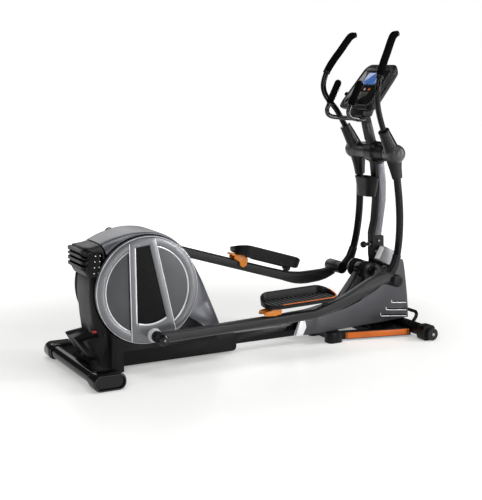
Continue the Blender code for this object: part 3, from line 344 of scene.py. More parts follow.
def swept(path, sections, across=(0.0, 1.0, 0.0)):
    """Rings of a section carried along a path without twist."""
    rings = []
    across = Vector(across)
    for i, point in enumerate(path):
        ahead = (path[min(i + 1, len(path) - 1)] - path[max(i - 1, 0)]).normalized()
        across = (across - ahead * ahead.dot(across)).normalized()
        upward = ahead.cross(across)
        rings.append([point + across * a + upward * b for a, b in sections[i]])
    return rings


def pipe(path, radius, sides=28, across=(0.0, 1.0, 0.0), round_end=0.0):
    """A round bar along a path; round_end eases its last end."""
    radii = radius if isinstance(radius, list) else [radius] * len(path)
    if round_end:
        ahead = (path[-1] - path[-2]).normalized()
        tip, last = path[-1], radii[-1]
        path = path[:-1] + [tip - ahead * round_end * (1 - s) for s in (0.0, 0.55, 0.85, 1.0)]
        radii = radii[:-1] + [last * f for f in (1.0, 0.86, 0.6, 0.22)]
    return loft(swept(path, [circle(r, sides) for r in radii], across))


def pieces_along(count, low, high):
    return [low + (high - low) * i / (count - 1) for i in range(count)]


# ---- crank discs ----
def disc_point(side, u, v, y):
    """A point of a disc: v towards its crank pin, u across it, y outwards from the centre plane."""
    ahead = Vector((-side * math.sin(CRANK_PHASE), side * math.cos(CRANK_PHASE)))
    across = Vector((-side * ahead.y, side * ahead.x))
    spot = ahead * v - across * u
    return Vector((AXLE_X + spot.x, side * y, AXLE_Z + spot.y))


def wedge_outline(v_top, half_top, v_low, half_low, top_radius, low_radius, grow=0.0, count=14):
    """A wedge, narrow away from the pin and wide beside it. Each end is an arc about the axle, or flat."""
    def half(v):
        return half_top + (half_low - half_top) * (v - v_top) / (v_low - v_top) + grow

    def end(radius, v, sign):
        return [(u, sign * math.sqrt((radius + grow) ** 2 - u * u) if radius else v)
                for u in pieces_along(count, sign * half(v), -sign * half(v))]
    top = end(top_radius, v_top - grow, -1.0)
    low = end(low_radius, v_low + grow, 1.0)
    right = [(half(v), v) for v in pieces_along(count, top[-1][1], low[0][1])[1:-1]]
    left = [(-half(v), v) for v in pieces_along(count, low[-1][1], top[0][1])[1:-1]]
    return top + right + low + left


def crank_disc(name, side):
    """The ring of a disc, its panel, and bright lips along the ring's inner and outer edge: painted highlights on
    the ring's bevels.
    """
    body = BODY_OF["crank_disc_" + name]
    hub = lay(0.0, 0.0, AXLE_Z)
    ring = [(0.2225, 0.15), (0.2225, 0.153), (0.225, 0.1575), (0.229, 0.1592), (0.245, 0.16),
            (0.26, 0.1592), (0.266, 0.1568), (0.2695, 0.1515), (0.27, 0.147), (0.2698, 0.1335),
            (0.268, 0.1318), (0.225, 0.1318)]
    piece(f"disc_ring_{name}", turned(ring, hub, 144, True, side=side), DISC_GREY, body,
          ("crank_disc_" + name,))
    back = [(0.06, 0.1368), (0.2245, 0.1368), (0.2245, 0.15), (0.216, 0.1512), (0.13, 0.152), (0.06, 0.1522)]
    piece(f"disc_panel_{name}", turned(back, hub, 112, side=side), PANEL_GREY, body)
    # The inner and outer lips are painted highlights along the ring's bevels.
    lip = [(0.217, 0.1508), (0.218, 0.153), (0.2205, 0.1545), (0.223, 0.154), (0.223, 0.1508)]
    piece(f"disc_inner_lip_highlight_{name}", turned(lip, hub, 144, True, side=side), TRIM_AND_PAINTED_HIGHLIGHT, body)
    highlight_brim = [(0.2668, 0.1558), (0.2674, 0.1572), (0.2688, 0.1566), (0.2694, 0.1545), (0.269, 0.153),
            (0.2672, 0.1535)]
    piece(f"disc_outer_lip_highlight_{name}", turned(highlight_brim, hub, 144, True, side=side), TRIM_AND_PAINTED_HIGHLIGHT, body)


def disc_wedge(name, side):
    """A raised wedge with a dark window, and a bright sill under it and bright lines along its edges that paint
    the highlights on its bevels.
    """
    body = BODY_OF["crank_disc_" + name]
    outer = (-0.247, 0.07, 0.236, 0.121, 0.26, 0.2625)
    inner = (-0.222, 0.0365, 0.15, 0.0775, 0.0, 0.17)

    def level(shape, grow, y):
        return [disc_point(side, u, v, y) for u, v in wedge_outline(*shape, grow)]
    rings = [level(outer, 0.0, 0.1515), level(outer, 0.0, 0.16), level(outer, -0.0016, 0.1626),
             level(outer, -0.0045, 0.1634), level(inner, 0.0085, 0.1636), level(inner, 0.003, 0.1626),
             level(inner, 0.0004, 0.16), level(inner, 0.0, 0.1535)]
    piece(f"disc_wedge_{name}", loft(rings, True), DISC_GREY, body)
    window = [level(inner, 0.002, 0.1524), level(inner, 0.002, 0.155)]
    piece(f"disc_window_{name}", loft(window), WINDOW_BLACK, body)

    # The sill is a painted highlight on the window's lower bevel.
    corner = 0.0745
    sill = [disc_point(side, u, math.sqrt(0.1725 ** 2 - u * u), 0.1628)
            for u in pieces_along(24, -corner, corner)]
    piece(f"disc_sill_highlight_{name}", pipe(sill, 0.005, 12), TRIM_AND_PAINTED_HIGHLIGHT, body)
    # Painted highlights along the wedge's front and rear edges and the window's rear edge.
    lines = (("front", 1.0, outer, -0.0012, 0.0022, 0.1614), ("rear", -1.0, outer, -0.0012, 0.0022, 0.1614),
             ("window", -1.0, inner, 0.006, 0.0036, 0.1624))
    for which, sign, shape, out, width, y in lines:
        v_top, half_top, v_low, half_low = shape[:4]
        line = [disc_point(side, sign * (half_top + (half_low - half_top) * t + out),
                           v_top + (v_low - v_top) * t, y) for t in pieces_along(12, 0.0, 1.0)]
        piece(f"disc_{which}_edge_{name}", pipe(line, width, 12), TRIM_AND_PAINTED_HIGHLIGHT, body)


def crank_pin(name, side):
    """The bright boss that the pedal arm's rear end turns about."""
    body = BODY_OF["crank_disc_" + name]
    pin = disc_point(side, 0.0, CRANK_RADIUS, 0.0)
    collar = [(0.0004, 0.156), (0.036, 0.156), (0.036, 0.166), (0.033, 0.1715), (0.0325, 0.184),
              (0.0295, 0.1888), (0.0004, 0.189)]
    piece(f"crank_pin_collar_{name}", turned(collar, in_middle(pin), 64, side=side), TRIM_AND_PAINTED_HIGHLIGHT, body)


# ---- housing ----
SHELL_OUTER = ((0.44, 0.1535), (0.415, 0.23), (0.38, 0.32), (0.35, 0.385), (0.318, 0.448), (0.278, 0.515),
               (0.229, 0.588), (0.1635, 0.6515), (0.09, 0.691), (0.02, 0.704), (-0.06, 0.702),
               (-0.15, 0.682), (-0.219, 0.656))


def resampled(line, count):
    """Evenly spaced points of a smooth curve through a line's points."""
    fine = smooth_path([Vector((x, 0.0, z)) for x, z in line], 10)
    reach = [0.0]
    for a, b in zip(fine, fine[1:]):
        reach.append(reach[-1] + (b - a).length)
    points = []
    k = 0
    for target in pieces_along(count, 0.0, reach[-1]):
        while k < len(fine) - 2 and reach[k + 1] < target:
            k += 1
        share = (target - reach[k]) / (reach[k + 1] - reach[k])
        spot = fine[k].lerp(fine[k + 1], min(1.0, share))
        points.append((spot.x, spot.z))
    return points


def top_shell():
    """The silver cover: a domed roof between the discs, with a wall along each disc."""
    count = 72
    outer = resampled(SHELL_OUTER, count)
    edge = [(0.397, 0.1535), (0.334, 0.1925)] + arc(0.0, AXLE_Z, SHELL_RADIUS + 0.0016, -35.5, 137, 40)
    inner = resampled(edge, count)

    def between(share, y):
        return [lay(xi + (xo - xi) * share, y, zi + (zo - zi) * share)
                for (xo, zo), (xi, zi) in zip(outer, inner)]
    wall = [(0.0, 0.1225), (0.0, 0.1292), (0.06, 0.13), (0.34, 0.1294), (0.56, 0.125), (0.74, 0.1155),
            (0.86, 0.107), (0.93, 0.096), (0.975, 0.08), (0.996, 0.056)]
    work = bmesh.new()
    section = [(share, -y) for share, y in wall] + [(1.0, 0.0)] + wall[::-1] + [(0.02, 0.118), (0.02, -0.118)]
    layers = [[work.verts.new(point) for point in between(share, y)] for share, y in section]
    for low, high in zip(layers, layers[1:] + layers[:1]):
        for i in range(count - 1):
            work.faces.new((low[i], low[i + 1], high[i + 1], high[i]))
    for end in (0, count - 1):
        work.faces.new([layer[end] for layer in layers])
    piece("top_shell_silver", work, SILVER, "rear_frame", ("top_shell",), sharp=32)


def shell_flange():
    """The lip of the silver cover that closes most of the gap round each disc."""
    lip = ((0.2752, 0.127), (0.2752, 0.1296), (0.276, 0.1304), (0.28, 0.1304), (0.28, 0.127))
    for name, side in SIDES.items():
        rings = [[lay(r * math.cos(angle), side * y, AXLE_Z + r * math.sin(angle)) for r, y in lip]
                 for angle in pieces_along(90, math.radians(-35.0), math.radians(136.5))]
        piece(f"shell_flange_{name}", loft(rings), SILVER, "rear_frame")


def lowered_corners(work):
    """Rounds the vent over at both top corners, as the cover above it is domed."""
    rounded_rear(work, 0.05, 0.134, -0.225, -0.275)
    for vert in work.verts:
        past = (abs(vert.co.y) - 0.07) / 0.064
        if vert.co.z > 0.6 and past > 0.0:
            vert.co.z -= 0.026 * min(1.0, past) ** 2


def rounded_rear(work, radius=0.05, half=0.125, start=-0.15, full=-0.235):
    """Bends the rear corners of a shell round in plan."""
    cuts = [(LEFT, (0.0, sign * y, 0.0)) for y in pieces_along(9, half - radius, half - 0.001)
            for sign in (-1.0, 1.0)]
    cuts += [((1.0, 0.0, 0.0), (AXLE_X + x, 0.0, 0.0)) for x in pieces_along(5, start, full)]
    for across, spot in cuts:
        bmesh.ops.bisect_plane(work, geom=work.verts[:] + work.edges[:] + work.faces[:], plane_co=spot,
                               plane_no=across, dist=0.0000001)
    for vert in work.verts:
        x = vert.co.x - AXLE_X
        past = abs(vert.co.y) - (half - radius)
        if x < start and past > 0.0:
            past = min(past, radius)
            share = min(1.0, (x - start) / (full - start))
            vert.co.x += share * share * (radius - math.sqrt(radius * radius - past * past))


def housings():
    """Two side housings, each with a seam near its rear edge and a near-black ring of painted shade in the gap
    round its disc.
    """
    seam_line = ((-0.226, 0.5), (-0.238, 0.44), (-0.24, 0.38), (-0.232, 0.29), (-0.222, 0.205))
    for name, side in SIDES.items():
        softened("housing_" + name, BLACK_PLASTIC, bevel=0.0, shape=rounded_rear)
        seam = [lay(x, side * 0.1253, z) for x, z in seam_line]
        piece(f"housing_seam_{name}", pipe(smooth_path(seam, 5), 0.0014, 8), GLOSS_BLACK, "rear_frame")
        # A near-black ring in the gap round the disc: painted shade.
        gap = [(SHELL_RADIUS - 0.005, 0.1255), (SHELL_RADIUS - 0.0008, 0.1255),
               (SHELL_RADIUS - 0.0008, 0.129), (SHELL_RADIUS - 0.005, 0.129)]
        piece(f"disc_gap_shade_{name}", turned(gap, lay(0.0, 0.0, AXLE_Z), 112, True, side), PAINTED_RECESS_SHADE,
              "rear_frame")


def vent_corner():
    """Rear corner of the shell, with studs on its sides and grooves across its back, drawn as near-black bars of
    painted shade.
    """
    softened("vent_corner", BLACK_PLASTIC, bevel=0.0, shape=lowered_corners)
    bead = [(0.0032, 0.0), (0.0029, 0.0014), (0.0018, 0.0024), (0.0004, 0.0028)]
    for name, side in SIDES.items():
        work = bmesh.new()
        for row in range(4):
            for column in range(2):
                centre = lay(-0.262 + 0.024 * column - 0.003 * row, side * 0.1335, 0.606 - 0.028 * row)
                add_rings(work, spun(bead, centre, 14, side))
        piece(f"vent_studs_{name}", work, TRIM_AND_PAINTED_HIGHLIGHT, "rear_frame")
    # Each groove is a near-black bar: painted shade.
    for row in range(5):
        z = 0.533 + 0.024 * row
        half = Vector((0.0, 0.104, 0.0))
        middle = lay(-0.3085, 0.0, z)
        bar = [(0.0035, 0.0), (0.003, 0.0025), (-0.003, 0.0025), (-0.0035, 0.0)]
        work = loft(swept([middle - half, middle, middle + half], [bar] * 3, (0.0, 0.0, 1.0)))
        piece(f"vent_groove_shade_{row + 1}", work, PAINTED_RECESS_SHADE, "rear_frame")


def rear_base():
    """Rail, sleeve and stabilizer."""
    softened("rear_frame", BLACK_PAINT, bevel=0.004, segments=3)
    softened("rail_cover", BLACK_PLASTIC, bevel=0.004, segments=3)
    bridge = [(-0.302, 0.024), (-0.29, 0.014), (-0.215, 0.014), (-0.205, 0.03), (-0.205, 0.078),
              (-0.29, 0.092), (-0.302, 0.074)]
    piece("stabilizer_bridge", prism(bridge, -0.118, 0.118), BLACK_PLASTIC, "rear_frame", bevel=0.003)
    low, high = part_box("rear_stabilizer")
    middle = (low + high) / 2
    radius = (high.z - low.z) / 2
    half = (high.y - low.y) / 2
    profile = [(radius - 0.004, -half), (radius, -half + 0.004), (radius, half - 0.004),
               (radius - 0.004, half)]
    piece("rear_stabilizer_tube", turned(profile, middle, 64), BLACK_PAINT, "rear_frame",
          ("rear_stabilizer",))


def rear_feet():
    """Rounded foot at each end of the stabilizer, with a rim round its end and a collar behind it."""
    low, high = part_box("rear_stabilizer")
    middle, radius = (low + high) / 2, (high.z - low.z) / 2
    for name, side in SIDES.items():
        low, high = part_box("rear_foot_" + name)
        far, near = (low.y, high.y) if side > 0 else (high.y, low.y)

        def outline(shrink, y):
            corner = (high.z - low.z) * 0.46 - shrink
            section = rounded_box((low.x + shrink, low.z + shrink), (high.x - shrink, high.z - shrink),
                                  corner, 12)
            return [Vector((x, y, z)) for x, z in section]
        rings = [outline(0.006, far), outline(0.0, far + side * 0.006), outline(0.0, near - side * 0.008),
                 outline(0.0025, near - side * 0.0016), outline(0.006, near),
                 outline(0.0095, near - side * 0.0008), outline(0.012, near - side * 0.0055),
                 outline(0.013, near - side * 0.012)]
        flat = loft(rings)
        for vert in flat.verts:
            if vert.co.z < low.z + 0.0012 and abs(vert.co.y - near) > 0.001:
                vert.co.z = low.z
        piece("foot_body_" + name, flat, GLOSS_BLACK, "rear_frame", ("rear_foot_" + name,))
        rim = [outline(0.005, near - side * 0.001), outline(0.0052, near - side * 0.0001),
               outline(0.009, near - side * 0.0001), outline(0.0092, near - side * 0.001)]
        piece(f"foot_end_rim_{name}", loft(rim, True), SHROUD_GREY, "rear_frame")
        sock = turned([(radius + 0.0008, 0.262), (radius + 0.005, 0.266), (radius + 0.006, 0.284),
                       (radius + 0.0008, 0.29)], middle, 56, True, side)
        piece(f"foot_collar_{name}", sock, BLACK_PLASTIC, "rear_frame")


# ---- pedal arms and pedals, in frames of their own ----
def arm_frame(name):
    """Lower hinge, crank pin, direction forward and direction up of a pedal arm."""
    side = SIDES[name]
    hinge = JOINT["arm_tilt_" + name]
    pin = Vector((AXLE_X - side * CRANK_RADIUS * math.sin(CRANK_PHASE), hinge.y,
                  AXLE_Z + side * CRANK_RADIUS * math.cos(CRANK_PHASE)))
    ahead = (hinge - pin).normalized()
    return hinge, pin, ahead, Vector((-ahead.z, 0.0, ahead.x))


def pedal_frame(name, joint):
    """A function from a pedal's own forward, left and up to a world point, and its forward direction."""
    _, _, ahead, up = arm_frame(name)
    turn = Matrix.Rotation(-TRAY_ANGLE, 3, "Y")
    origin, ahead, up = JOINT[f"{joint}_{name}"], turn @ ahead, turn @ up

    def at(x, y, z):
        return origin + ahead * x + LEFT * y + up * z
    return at, ahead


def pedal_arms():
    """Pedal arms, with a cap, a bolt and a sleeve at the crank pin."""
    for name, side in SIDES.items():
        softened("pedal_arm_" + name, ARM_PAINT, bevel=0.0035, segments=3)
        pin = in_middle(arm_frame(name)[1])
        body = "pedal_arm_" + name
        cap = [(0.0004, 0.292), (0.011, 0.2915), (0.012, 0.289), (0.02, 0.2885), (0.0255, 0.2865),
               (0.0275, 0.282), (0.0275, 0.2785), (0.0004, 0.2784)]
        piece(f"arm_rear_cap_{name}", turned(cap, pin, 56, side=side), GLOSS_BLACK, body)
        bolt = [(0.0004, 0.2938), (0.005, 0.2935), (0.0062, 0.2925), (0.0062, 0.2918), (0.0004, 0.2917)]
        piece(f"arm_rear_bolt_{name}", turned(bolt, pin, 6, side=side), STEEL, body)
        sleeve = [(0.0285, 0.1905), (0.0292, 0.1925), (0.0292, 0.224), (0.028, 0.2255), (0.0268, 0.2255),
                  (0.0268, 0.1905)]
        piece(f"arm_rear_sleeve_{name}", turned(sleeve, pin, 56, True, side=side), BLACK_PLASTIC, body)


def tray_outline(grow, count=12):
    centre = TRAY_FRONT - TRAY_LENGTH / 2
    return rounded_box((centre - TRAY_LENGTH / 2 - grow, -TRAY_WIDTH / 2 - grow),
                       (centre + TRAY_LENGTH / 2 + grow, TRAY_WIDTH / 2 + grow), 0.074 + grow, count)


def tray_rim(y, side):
    """Height of a tray's rim: its inner side stands higher than its outer side."""
    inward = max(0.0, min(1.0, 0.5 - side * y / TRAY_WIDTH))
    return TRAY_FLOOR + 0.026 + 0.04 * inward * inward


def pedal_trays():
    """Dished trays with hinge lugs and a keel below, and an orange line along the outer rim."""
    for name, side in SIDES.items():
        at, _ = pedal_frame(name, "pedal_tilt")
        body = "pedal_" + name

        def flat_ring(grow, height):
            return [at(x, y, TRAY_FLOOR + height) for x, y in tray_outline(grow)]

        def wall_ring(grow, share=1.0, extra=0.0):
            return [at(x, y, TRAY_FLOOR + (tray_rim(y, side) - TRAY_FLOOR) * share + extra)
                    for x, y in tray_outline(grow)]
        rings = [flat_ring(-0.03, 0.0), flat_ring(-0.016, 0.0008), flat_ring(-0.008, 0.005),
                 flat_ring(-0.0035, 0.0095), wall_ring(-0.0005, 0.8), wall_ring(0.0, 1.0, -0.0022),
                 wall_ring(-0.0009, 1.0, -0.0006), wall_ring(-0.003), wall_ring(-0.0052, 1.0, -0.0008),
                 wall_ring(-0.0062, 1.0, -0.0026), wall_ring(-0.01, 0.78), flat_ring(-0.0125, 0.0165)]
        piece("pedal_tray_body_" + name, loft(rings), BLACK_PLASTIC, body, ("pedal_tray_" + name,))

        lugs = bmesh.new()
        lug = rounded_box((-0.012, -0.01), (0.012, TRAY_FLOOR + 0.004), 0.009, 6)
        for offset in (-0.019, 0.019):
            add_rings(lugs, [[at(x, offset + half, z) for x, z in lug] for half in (-0.0065, 0.0065)])
        piece("pedal_lugs_" + name, lugs, BLACK_PLASTIC, body, bevel=0.0012)
        keel = bmesh.new()
        steps = ((-0.33, -0.03, 0.006, 0.03), (-0.25, -0.02, 0.01, 0.018))
        for low, high, depth, half in steps if name == "left" else steps[:1]:
            shape = [(low, TRAY_FLOOR + 0.002), (low + 0.012, TRAY_FLOOR - depth),
                     (high - 0.006, TRAY_FLOOR - depth), (high, TRAY_FLOOR + 0.002)]
            add_rings(keel, [[at(x, y, z) for x, z in shape] for y in (-half, half)])
        piece("pedal_keel_" + name, keel, BLACK_PLASTIC, body, bevel=0.0016)

        kept = [(x, y) for x, y in tray_outline(-0.004) if side * y > -0.03 and x > -0.3]
        kept.sort(key=lambda p: math.atan2(side * p[1], p[0] - TRAY_FRONT + TRAY_LENGTH / 2))
        line = [at(x, y, tray_rim(y, side) + 0.0002) for x, y in kept]
        piece("pedal_trim_" + name, pipe(line, 0.003, 10, (0.0, 0.0, 1.0)), ORANGE, body)


def pedal_mats():
    """A raised mat in each tray, with ribs across that shorten towards its round ends; the ribs' grey paints the
    highlights on their tops, and the near-black base the shade between them.
    """
    inset, corner, count = 0.0185, 0.0555, 15
    rear = min(x for x, _ in tray_outline(-inset))
    front = max(x for x, _ in tray_outline(-inset))
    section = [(-0.0072, 0.0), (-0.0066, 0.0044), (-0.004, 0.0056), (0.004, 0.0056), (0.0066, 0.0044),
               (0.0072, 0.0)]
    for name in SIDES:
        at, _ = pedal_frame(name, "pedal_tilt")
        body = "pedal_" + name
        # A near-black base: painted shade between the ribs.
        base = [[at(x, y, TRAY_FLOOR + z) for x, y in tray_outline(grow)]
                for grow, z in ((-0.013, 0.016), (-0.013, 0.0178), (-0.0145, 0.0186))]
        piece("pedal_mat_base_shade_" + name, loft(base), PAINTED_RECESS_SHADE, body)
        ribs = bmesh.new()
        for x in pieces_along(count, rear + 0.01, front - 0.01):
            into = max(0.0, rear + corner - x, x - front + corner)
            width = TRAY_WIDTH / 2 - inset - corner + math.sqrt(max(0.0, corner * corner - into * into))
            ends = ((-width, 0.0022), (-width + 0.003, 0.0), (width - 0.003, 0.0), (width, 0.0022))
            add_rings(ribs, [[at(x + a, y, TRAY_FLOOR + 0.0182 + max(0.0, b - low)) for a, b in section]
                             for y, low in ends])
        piece("pedal_mat_ribs_" + name, ribs, MAT_RIB_PAINTED_HIGHLIGHT, body, ("pedal_mat_" + name,))


def pedal_levers():
    """Orange paddle under the rear of each pedal, with a round hub at its hinge."""
    near_cheek = [(-0.064, -0.004), (-0.06, -0.013), (-0.01, -0.017), (0.034, -0.013), (0.04, 0.002),
                  (0.03, 0.015), (0.0, 0.018), (-0.03, 0.012), (-0.058, 0.008)]
    far_cheek = [(-0.044, -0.014), (-0.04, -0.022), (-0.006, -0.03), (0.006, -0.052), (0.028, -0.055),
                 (0.042, -0.04), (0.044, -0.01), (0.034, 0.004), (-0.03, 0.005), (-0.042, -0.002)]
    for name, side in SIDES.items():
        at, ahead = pedal_frame(name, "lever_press")
        hinge = at(0.0, 0.0, 0.0)

        def shortened(work):
            for vert in work.verts:
                vert.co += ahead * (-LEVER_CUT * min(0.0, (vert.co - hinge).dot(ahead)))
        softened("pedal_lever_" + name, LEVER_ORANGE, bevel=0.0022, segments=3, shape=shortened)
        body = "pedal_lever_" + name
        for which, y0, y1 in (("outer", 0.0135, 0.033), ("inner", -0.033, -0.0135)):
            profile = [(0.003, y0), (0.017, y0), (0.019, y0 + 0.002), (0.019, y1 - 0.002), (0.017, y1),
                       (0.003, y1)]
            rings = [[at(a, side * y, b) for a, b in circle(r, 40)] for r, y in profile]
            piece(f"lever_hub_{which}_{name}", loft(rings, True), LEVER_ORANGE, body)
        cheeks = bmesh.new()
        cheek = near_cheek if side < 0 else far_cheek
        for middle in (-0.03, 0.03):
            add_rings(cheeks, [[at(x * share, middle + y, z * share) for x, z in cheek]
                               for y, share in ((-0.004, 0.95), (-0.003, 1.0), (0.003, 1.0), (0.004, 0.95))])
        piece("lever_cheeks_" + name, cheeks, LEVER_ORANGE, body, bevel=0.001)
        ribs = bmesh.new()
        for k in range(5):
            a = -0.059 + 0.007 * k
            outline = [(a, 0.0055), (a + 0.0006, 0.0072), (a + 0.003, 0.0072), (a + 0.0036, 0.0055)]
            add_rings(ribs, [[at(x, y, z) for x, z in outline] for y in (-0.024, 0.024)])
        piece("lever_ribs_" + name, ribs, LEVER_ORANGE, body)


# ---- swing arms, in frames of their own: origin on the upper pivot ----
HANDLE_ROUTE = [(-0.088, 0.1968, 0.1248), (-0.14, 0.226, 0.205), (-0.19, 0.272, 0.272),
                (-0.206, 0.292, 0.33), (-0.199, 0.292, 0.4), (-0.174, 0.28, 0.47), (-0.14, 0.266, 0.538),
                (-0.112, 0.255, 0.596), (-0.094, 0.25, 0.624), (-0.066, 0.246, 0.636)]
LEG_ROUTE = [(0.04, 0.168, -0.13), (0.063, 0.168, -0.26), (0.075, 0.168, -0.37), (0.077, 0.168, -0.48),
             (0.069, 0.168, -0.57), (0.06, 0.168, -0.605)]
BOOT_ROUTE = [(0.0705, 0.168, -0.56), (0.055, 0.168, -0.622), (0.028, 0.168, -0.664), (0.004, 0.168, -0.682)]


def swing_point(name, point):
    """A world point from a swing arm's own frame, whose leg points straight down."""
    top = JOINT["swing_" + name]
    down = (JOINT["lower_hinge_" + name] - top).normalized()
    ahead = Vector((-down.z, 0.0, down.x))
    x, y, z = point
    return Vector((top.x, SIDES[name] * y, top.z)) + ahead * x - down * z


def swing_route(name, points, steps):
    return smooth_path([swing_point(name, point) for point in points], steps)


def handlebars():
    """Bent tube, foam grip over its upper half and a collar under the foam."""
    foam_start = 20                      # step of the route where the foam begins
    for name in SIDES:
        body = "swing_arm_" + name
        handle = swing_route(name, HANDLE_ROUTE, 5)
        piece("handlebar_tube_" + name, pipe(handle, 0.0155, 30), BLACK_PAINT, body, ("handlebar_" + name,))
        grip = handle[foam_start:]
        tip = [0.0205, 0.02, 0.0188, 0.017, 0.0146, 0.0124]
        radii = [0.0178, 0.0194, 0.0202] + [0.0205] * (len(grip) - 9) + tip
        piece("handle_foam_" + name, pipe(grip, radii, 32, round_end=0.008), FOAM, body,
              ("handle_grip_" + name,))
        piece(f"handle_collar_{name}", pipe(grip[:2], 0.0205, 32), BLACK_PLASTIC, body, bevel=0.0008)


def swing_hubs():
    """The socket of each handlebar, the sleeve of each leg and the ball over the pivot."""
    for name, side in SIDES.items():
        body = "swing_arm_" + name
        socket = swing_route(name, [(-0.004, 0.174, 0.004), (-0.03, 0.182, 0.044), (-0.06, 0.189, 0.086),
                                    (-0.086, 0.196, 0.122)], 5)
        widths = [0.044 - 0.0145 * (k / (len(socket) - 1)) ** 0.9 for k in range(len(socket))]
        rim = 0.0295
        widths[-1] = rim
        work = loft(swept(socket, [circle(r, 48) for r in widths]))
        tip = socket[-1] + (socket[-1] - socket[-2]).normalized() * 0.0015
        add_rings(work, swept([socket[-1] - (tip - socket[-1]) * 4, tip], [circle(rim + 0.0022, 48)] * 2))
        boot = swing_route(name, [(0.002, 0.172, -0.004), (0.018, 0.169, -0.05), (0.028, 0.168, -0.085),
                                  (0.043, 0.168, -0.136)], 5)
        widths = [0.046 - 0.018 * (k / (len(boot) - 1)) for k in range(len(boot))]
        add_rings(work, swept(boot, [circle(r, 48) for r in widths]))
        piece("hub_sockets_" + name, work, HUB_PLASTIC, body, ("swing_hub_" + name,), bevel=0.002, limit=50.0)
        top = in_middle(JOINT["swing_" + name])
        ball = [(0.034, 0.1252), (0.043, 0.128), (0.0465, 0.14), (0.048, 0.16), (0.05, 0.176),
                (0.051, 0.1838), (0.0496, 0.185), (0.0496, 0.1866), (0.0516, 0.1878), (0.0518, 0.198),
                (0.05, 0.21), (0.0462, 0.222), (0.04, 0.232), (0.031, 0.24), (0.02, 0.245), (0.01, 0.247),
                (0.0004, 0.2475)]
        piece("hub_ball_" + name, turned(ball, top, 80, side=side), HUB_BALL, body)


def swing_legs():
    """Tube down to the lower hinge, the boot and knuckle there, and the cap of the hinge pin."""
    for name, side in SIDES.items():
        body = "swing_arm_" + name
        leg = swing_route(name, LEG_ROUTE, 6)
        piece("leg_tube_" + name, pipe(leg, 0.0205, 32), BLACK_PAINT, body, ("leg_" + name,))
        shoe = swing_route(name, BOOT_ROUTE, 6)
        widths = [0.0245, 0.025, 0.0256, 0.0262, 0.0268, 0.0272, 0.0276, 0.028, 0.0284, 0.0288, 0.029,
                  0.029, 0.0288, 0.0282, 0.0274, 0.0262, 0.0246, 0.0226, 0.02]
        sections = [[(a * min(1.0, 0.0212 / r), b) for a, b in circle(r, 40)] for r in widths[:len(shoe)]]
        piece("leg_boot_" + name, loft(swept(shoe, sections)), BLACK_PLASTIC, body, bevel=0.0012, limit=50.0)
        low = JOINT["lower_hinge_" + name]
        knuckle = [(0.01, 0.146), (0.031, 0.146), (0.0335, 0.1485), (0.0335, 0.187), (0.0315, 0.1892),
                   (0.01, 0.1892)]
        piece("leg_knuckle_" + name, turned(knuckle, in_middle(low), 56, True, side=side), BLACK_PLASTIC,
              body)
        pin = [(0.0098, 0.1465), (0.0098, 0.2786), (0.031, 0.2788), (0.0335, 0.28), (0.034, 0.283),
               (0.0325, 0.2865), (0.028, 0.2888), (0.016, 0.2896), (0.015, 0.2884), (0.0004, 0.2882)]
        piece("hinge_cap_" + name, turned(pin, in_middle(low), 64, side=side), BLACK_PLASTIC,
              "hinge_pin_" + name, ("hinge_pin_" + name,))


# ---- mast, hubs' cross tube, cup and latch ----
def mast():
    softened("upright_post", POST_PAINT, bevel=0.005, segments=3)
    softened("mast_cover", SILVER, bevel=0.007, segments=4)
    pivot = in_middle(JOINT["swing_right"])
    profile = [(0.011, -0.195), (0.011, -0.1246), (0.044, -0.1244), (0.0465, -0.1225), (0.0472, -0.115),
               (0.048, -0.06), (0.0505, -0.048), (0.056, -0.04), (0.058, -0.033), (0.058, -0.027)]
    profile += [(r, -y) for r, y in reversed(profile)]
    piece("cross_tube", turned(profile, pivot, 72), HUB_PLASTIC, "front_frame", ("swing_axle",))
    bracket = [(1.398, 1.093), (1.432, 1.093), (1.404, 1.19), (1.372, 1.19)]
    for name, side in SIDES.items():
        work = prism(bracket, side * 0.0248, side * 0.0275)
        piece("mast_side_plate_" + name, work, HUB_PLASTIC, "front_frame", bevel=0.001)
    for name, side in SIDES.items():
        work = bmesh.new()
        for x, z in ((1.47, 0.53), (1.452, 0.47)):
            centre = lay(x, 0.0, z)
            head = [(0.0004, 0.025), (0.0068, 0.025), (0.0068, 0.0295), (0.0056, 0.0305), (0.0004, 0.0305)]
            add_rings(work, spun(head, centre, 24, side))
        piece("post_bolts_" + name, work, STEEL, "front_frame")


def bottle_cup():
    """An oval cup with a rolled rim, open at its top."""
    def lobes(x_radius, y_radius, shift):
        return [(x_radius * math.cos(a), way * shift + y_radius * math.sin(a))
                for way, start in ((-1.0, math.pi), (1.0, 0.0))
                for a in pieces_along(28, start, start + math.pi)]
    steps = [((0.02, 0.026, 0.024), 0.785), ((0.0285, 0.0345, 0.026), 0.7855),
             ((0.0302, 0.0362, 0.026), 0.788), ((0.035, 0.042, 0.03), 0.84),
             ((0.0402, 0.0472, 0.034), 0.885), ((0.042, 0.049, 0.034), 0.887),
             ((0.0422, 0.0492, 0.034), 0.8915), ((0.0412, 0.0482, 0.034), 0.893),
             ((0.0385, 0.0455, 0.034), 0.8928), ((0.0375, 0.0445, 0.034), 0.89),
             ((0.032, 0.039, 0.03), 0.84), ((0.027, 0.033, 0.026), 0.7925), ((0.02, 0.026, 0.024), 0.791)]
    rings = [[lay(1.4 + a, b * 1.1, z) for a, b in lobes(*size)] for size, z in steps]
    piece("cup_body", loft(rings), BLACK_PLASTIC, "front_frame", ("bottle_holder",))
    strap = [(1.4305, 0.8), (1.4445, 0.8), (1.4445, 0.86), (1.4375, 0.86)]
    piece("cup_bracket", prism(strap, -0.018, 0.018), BLACK_PLASTIC, "front_frame", bevel=0.002)


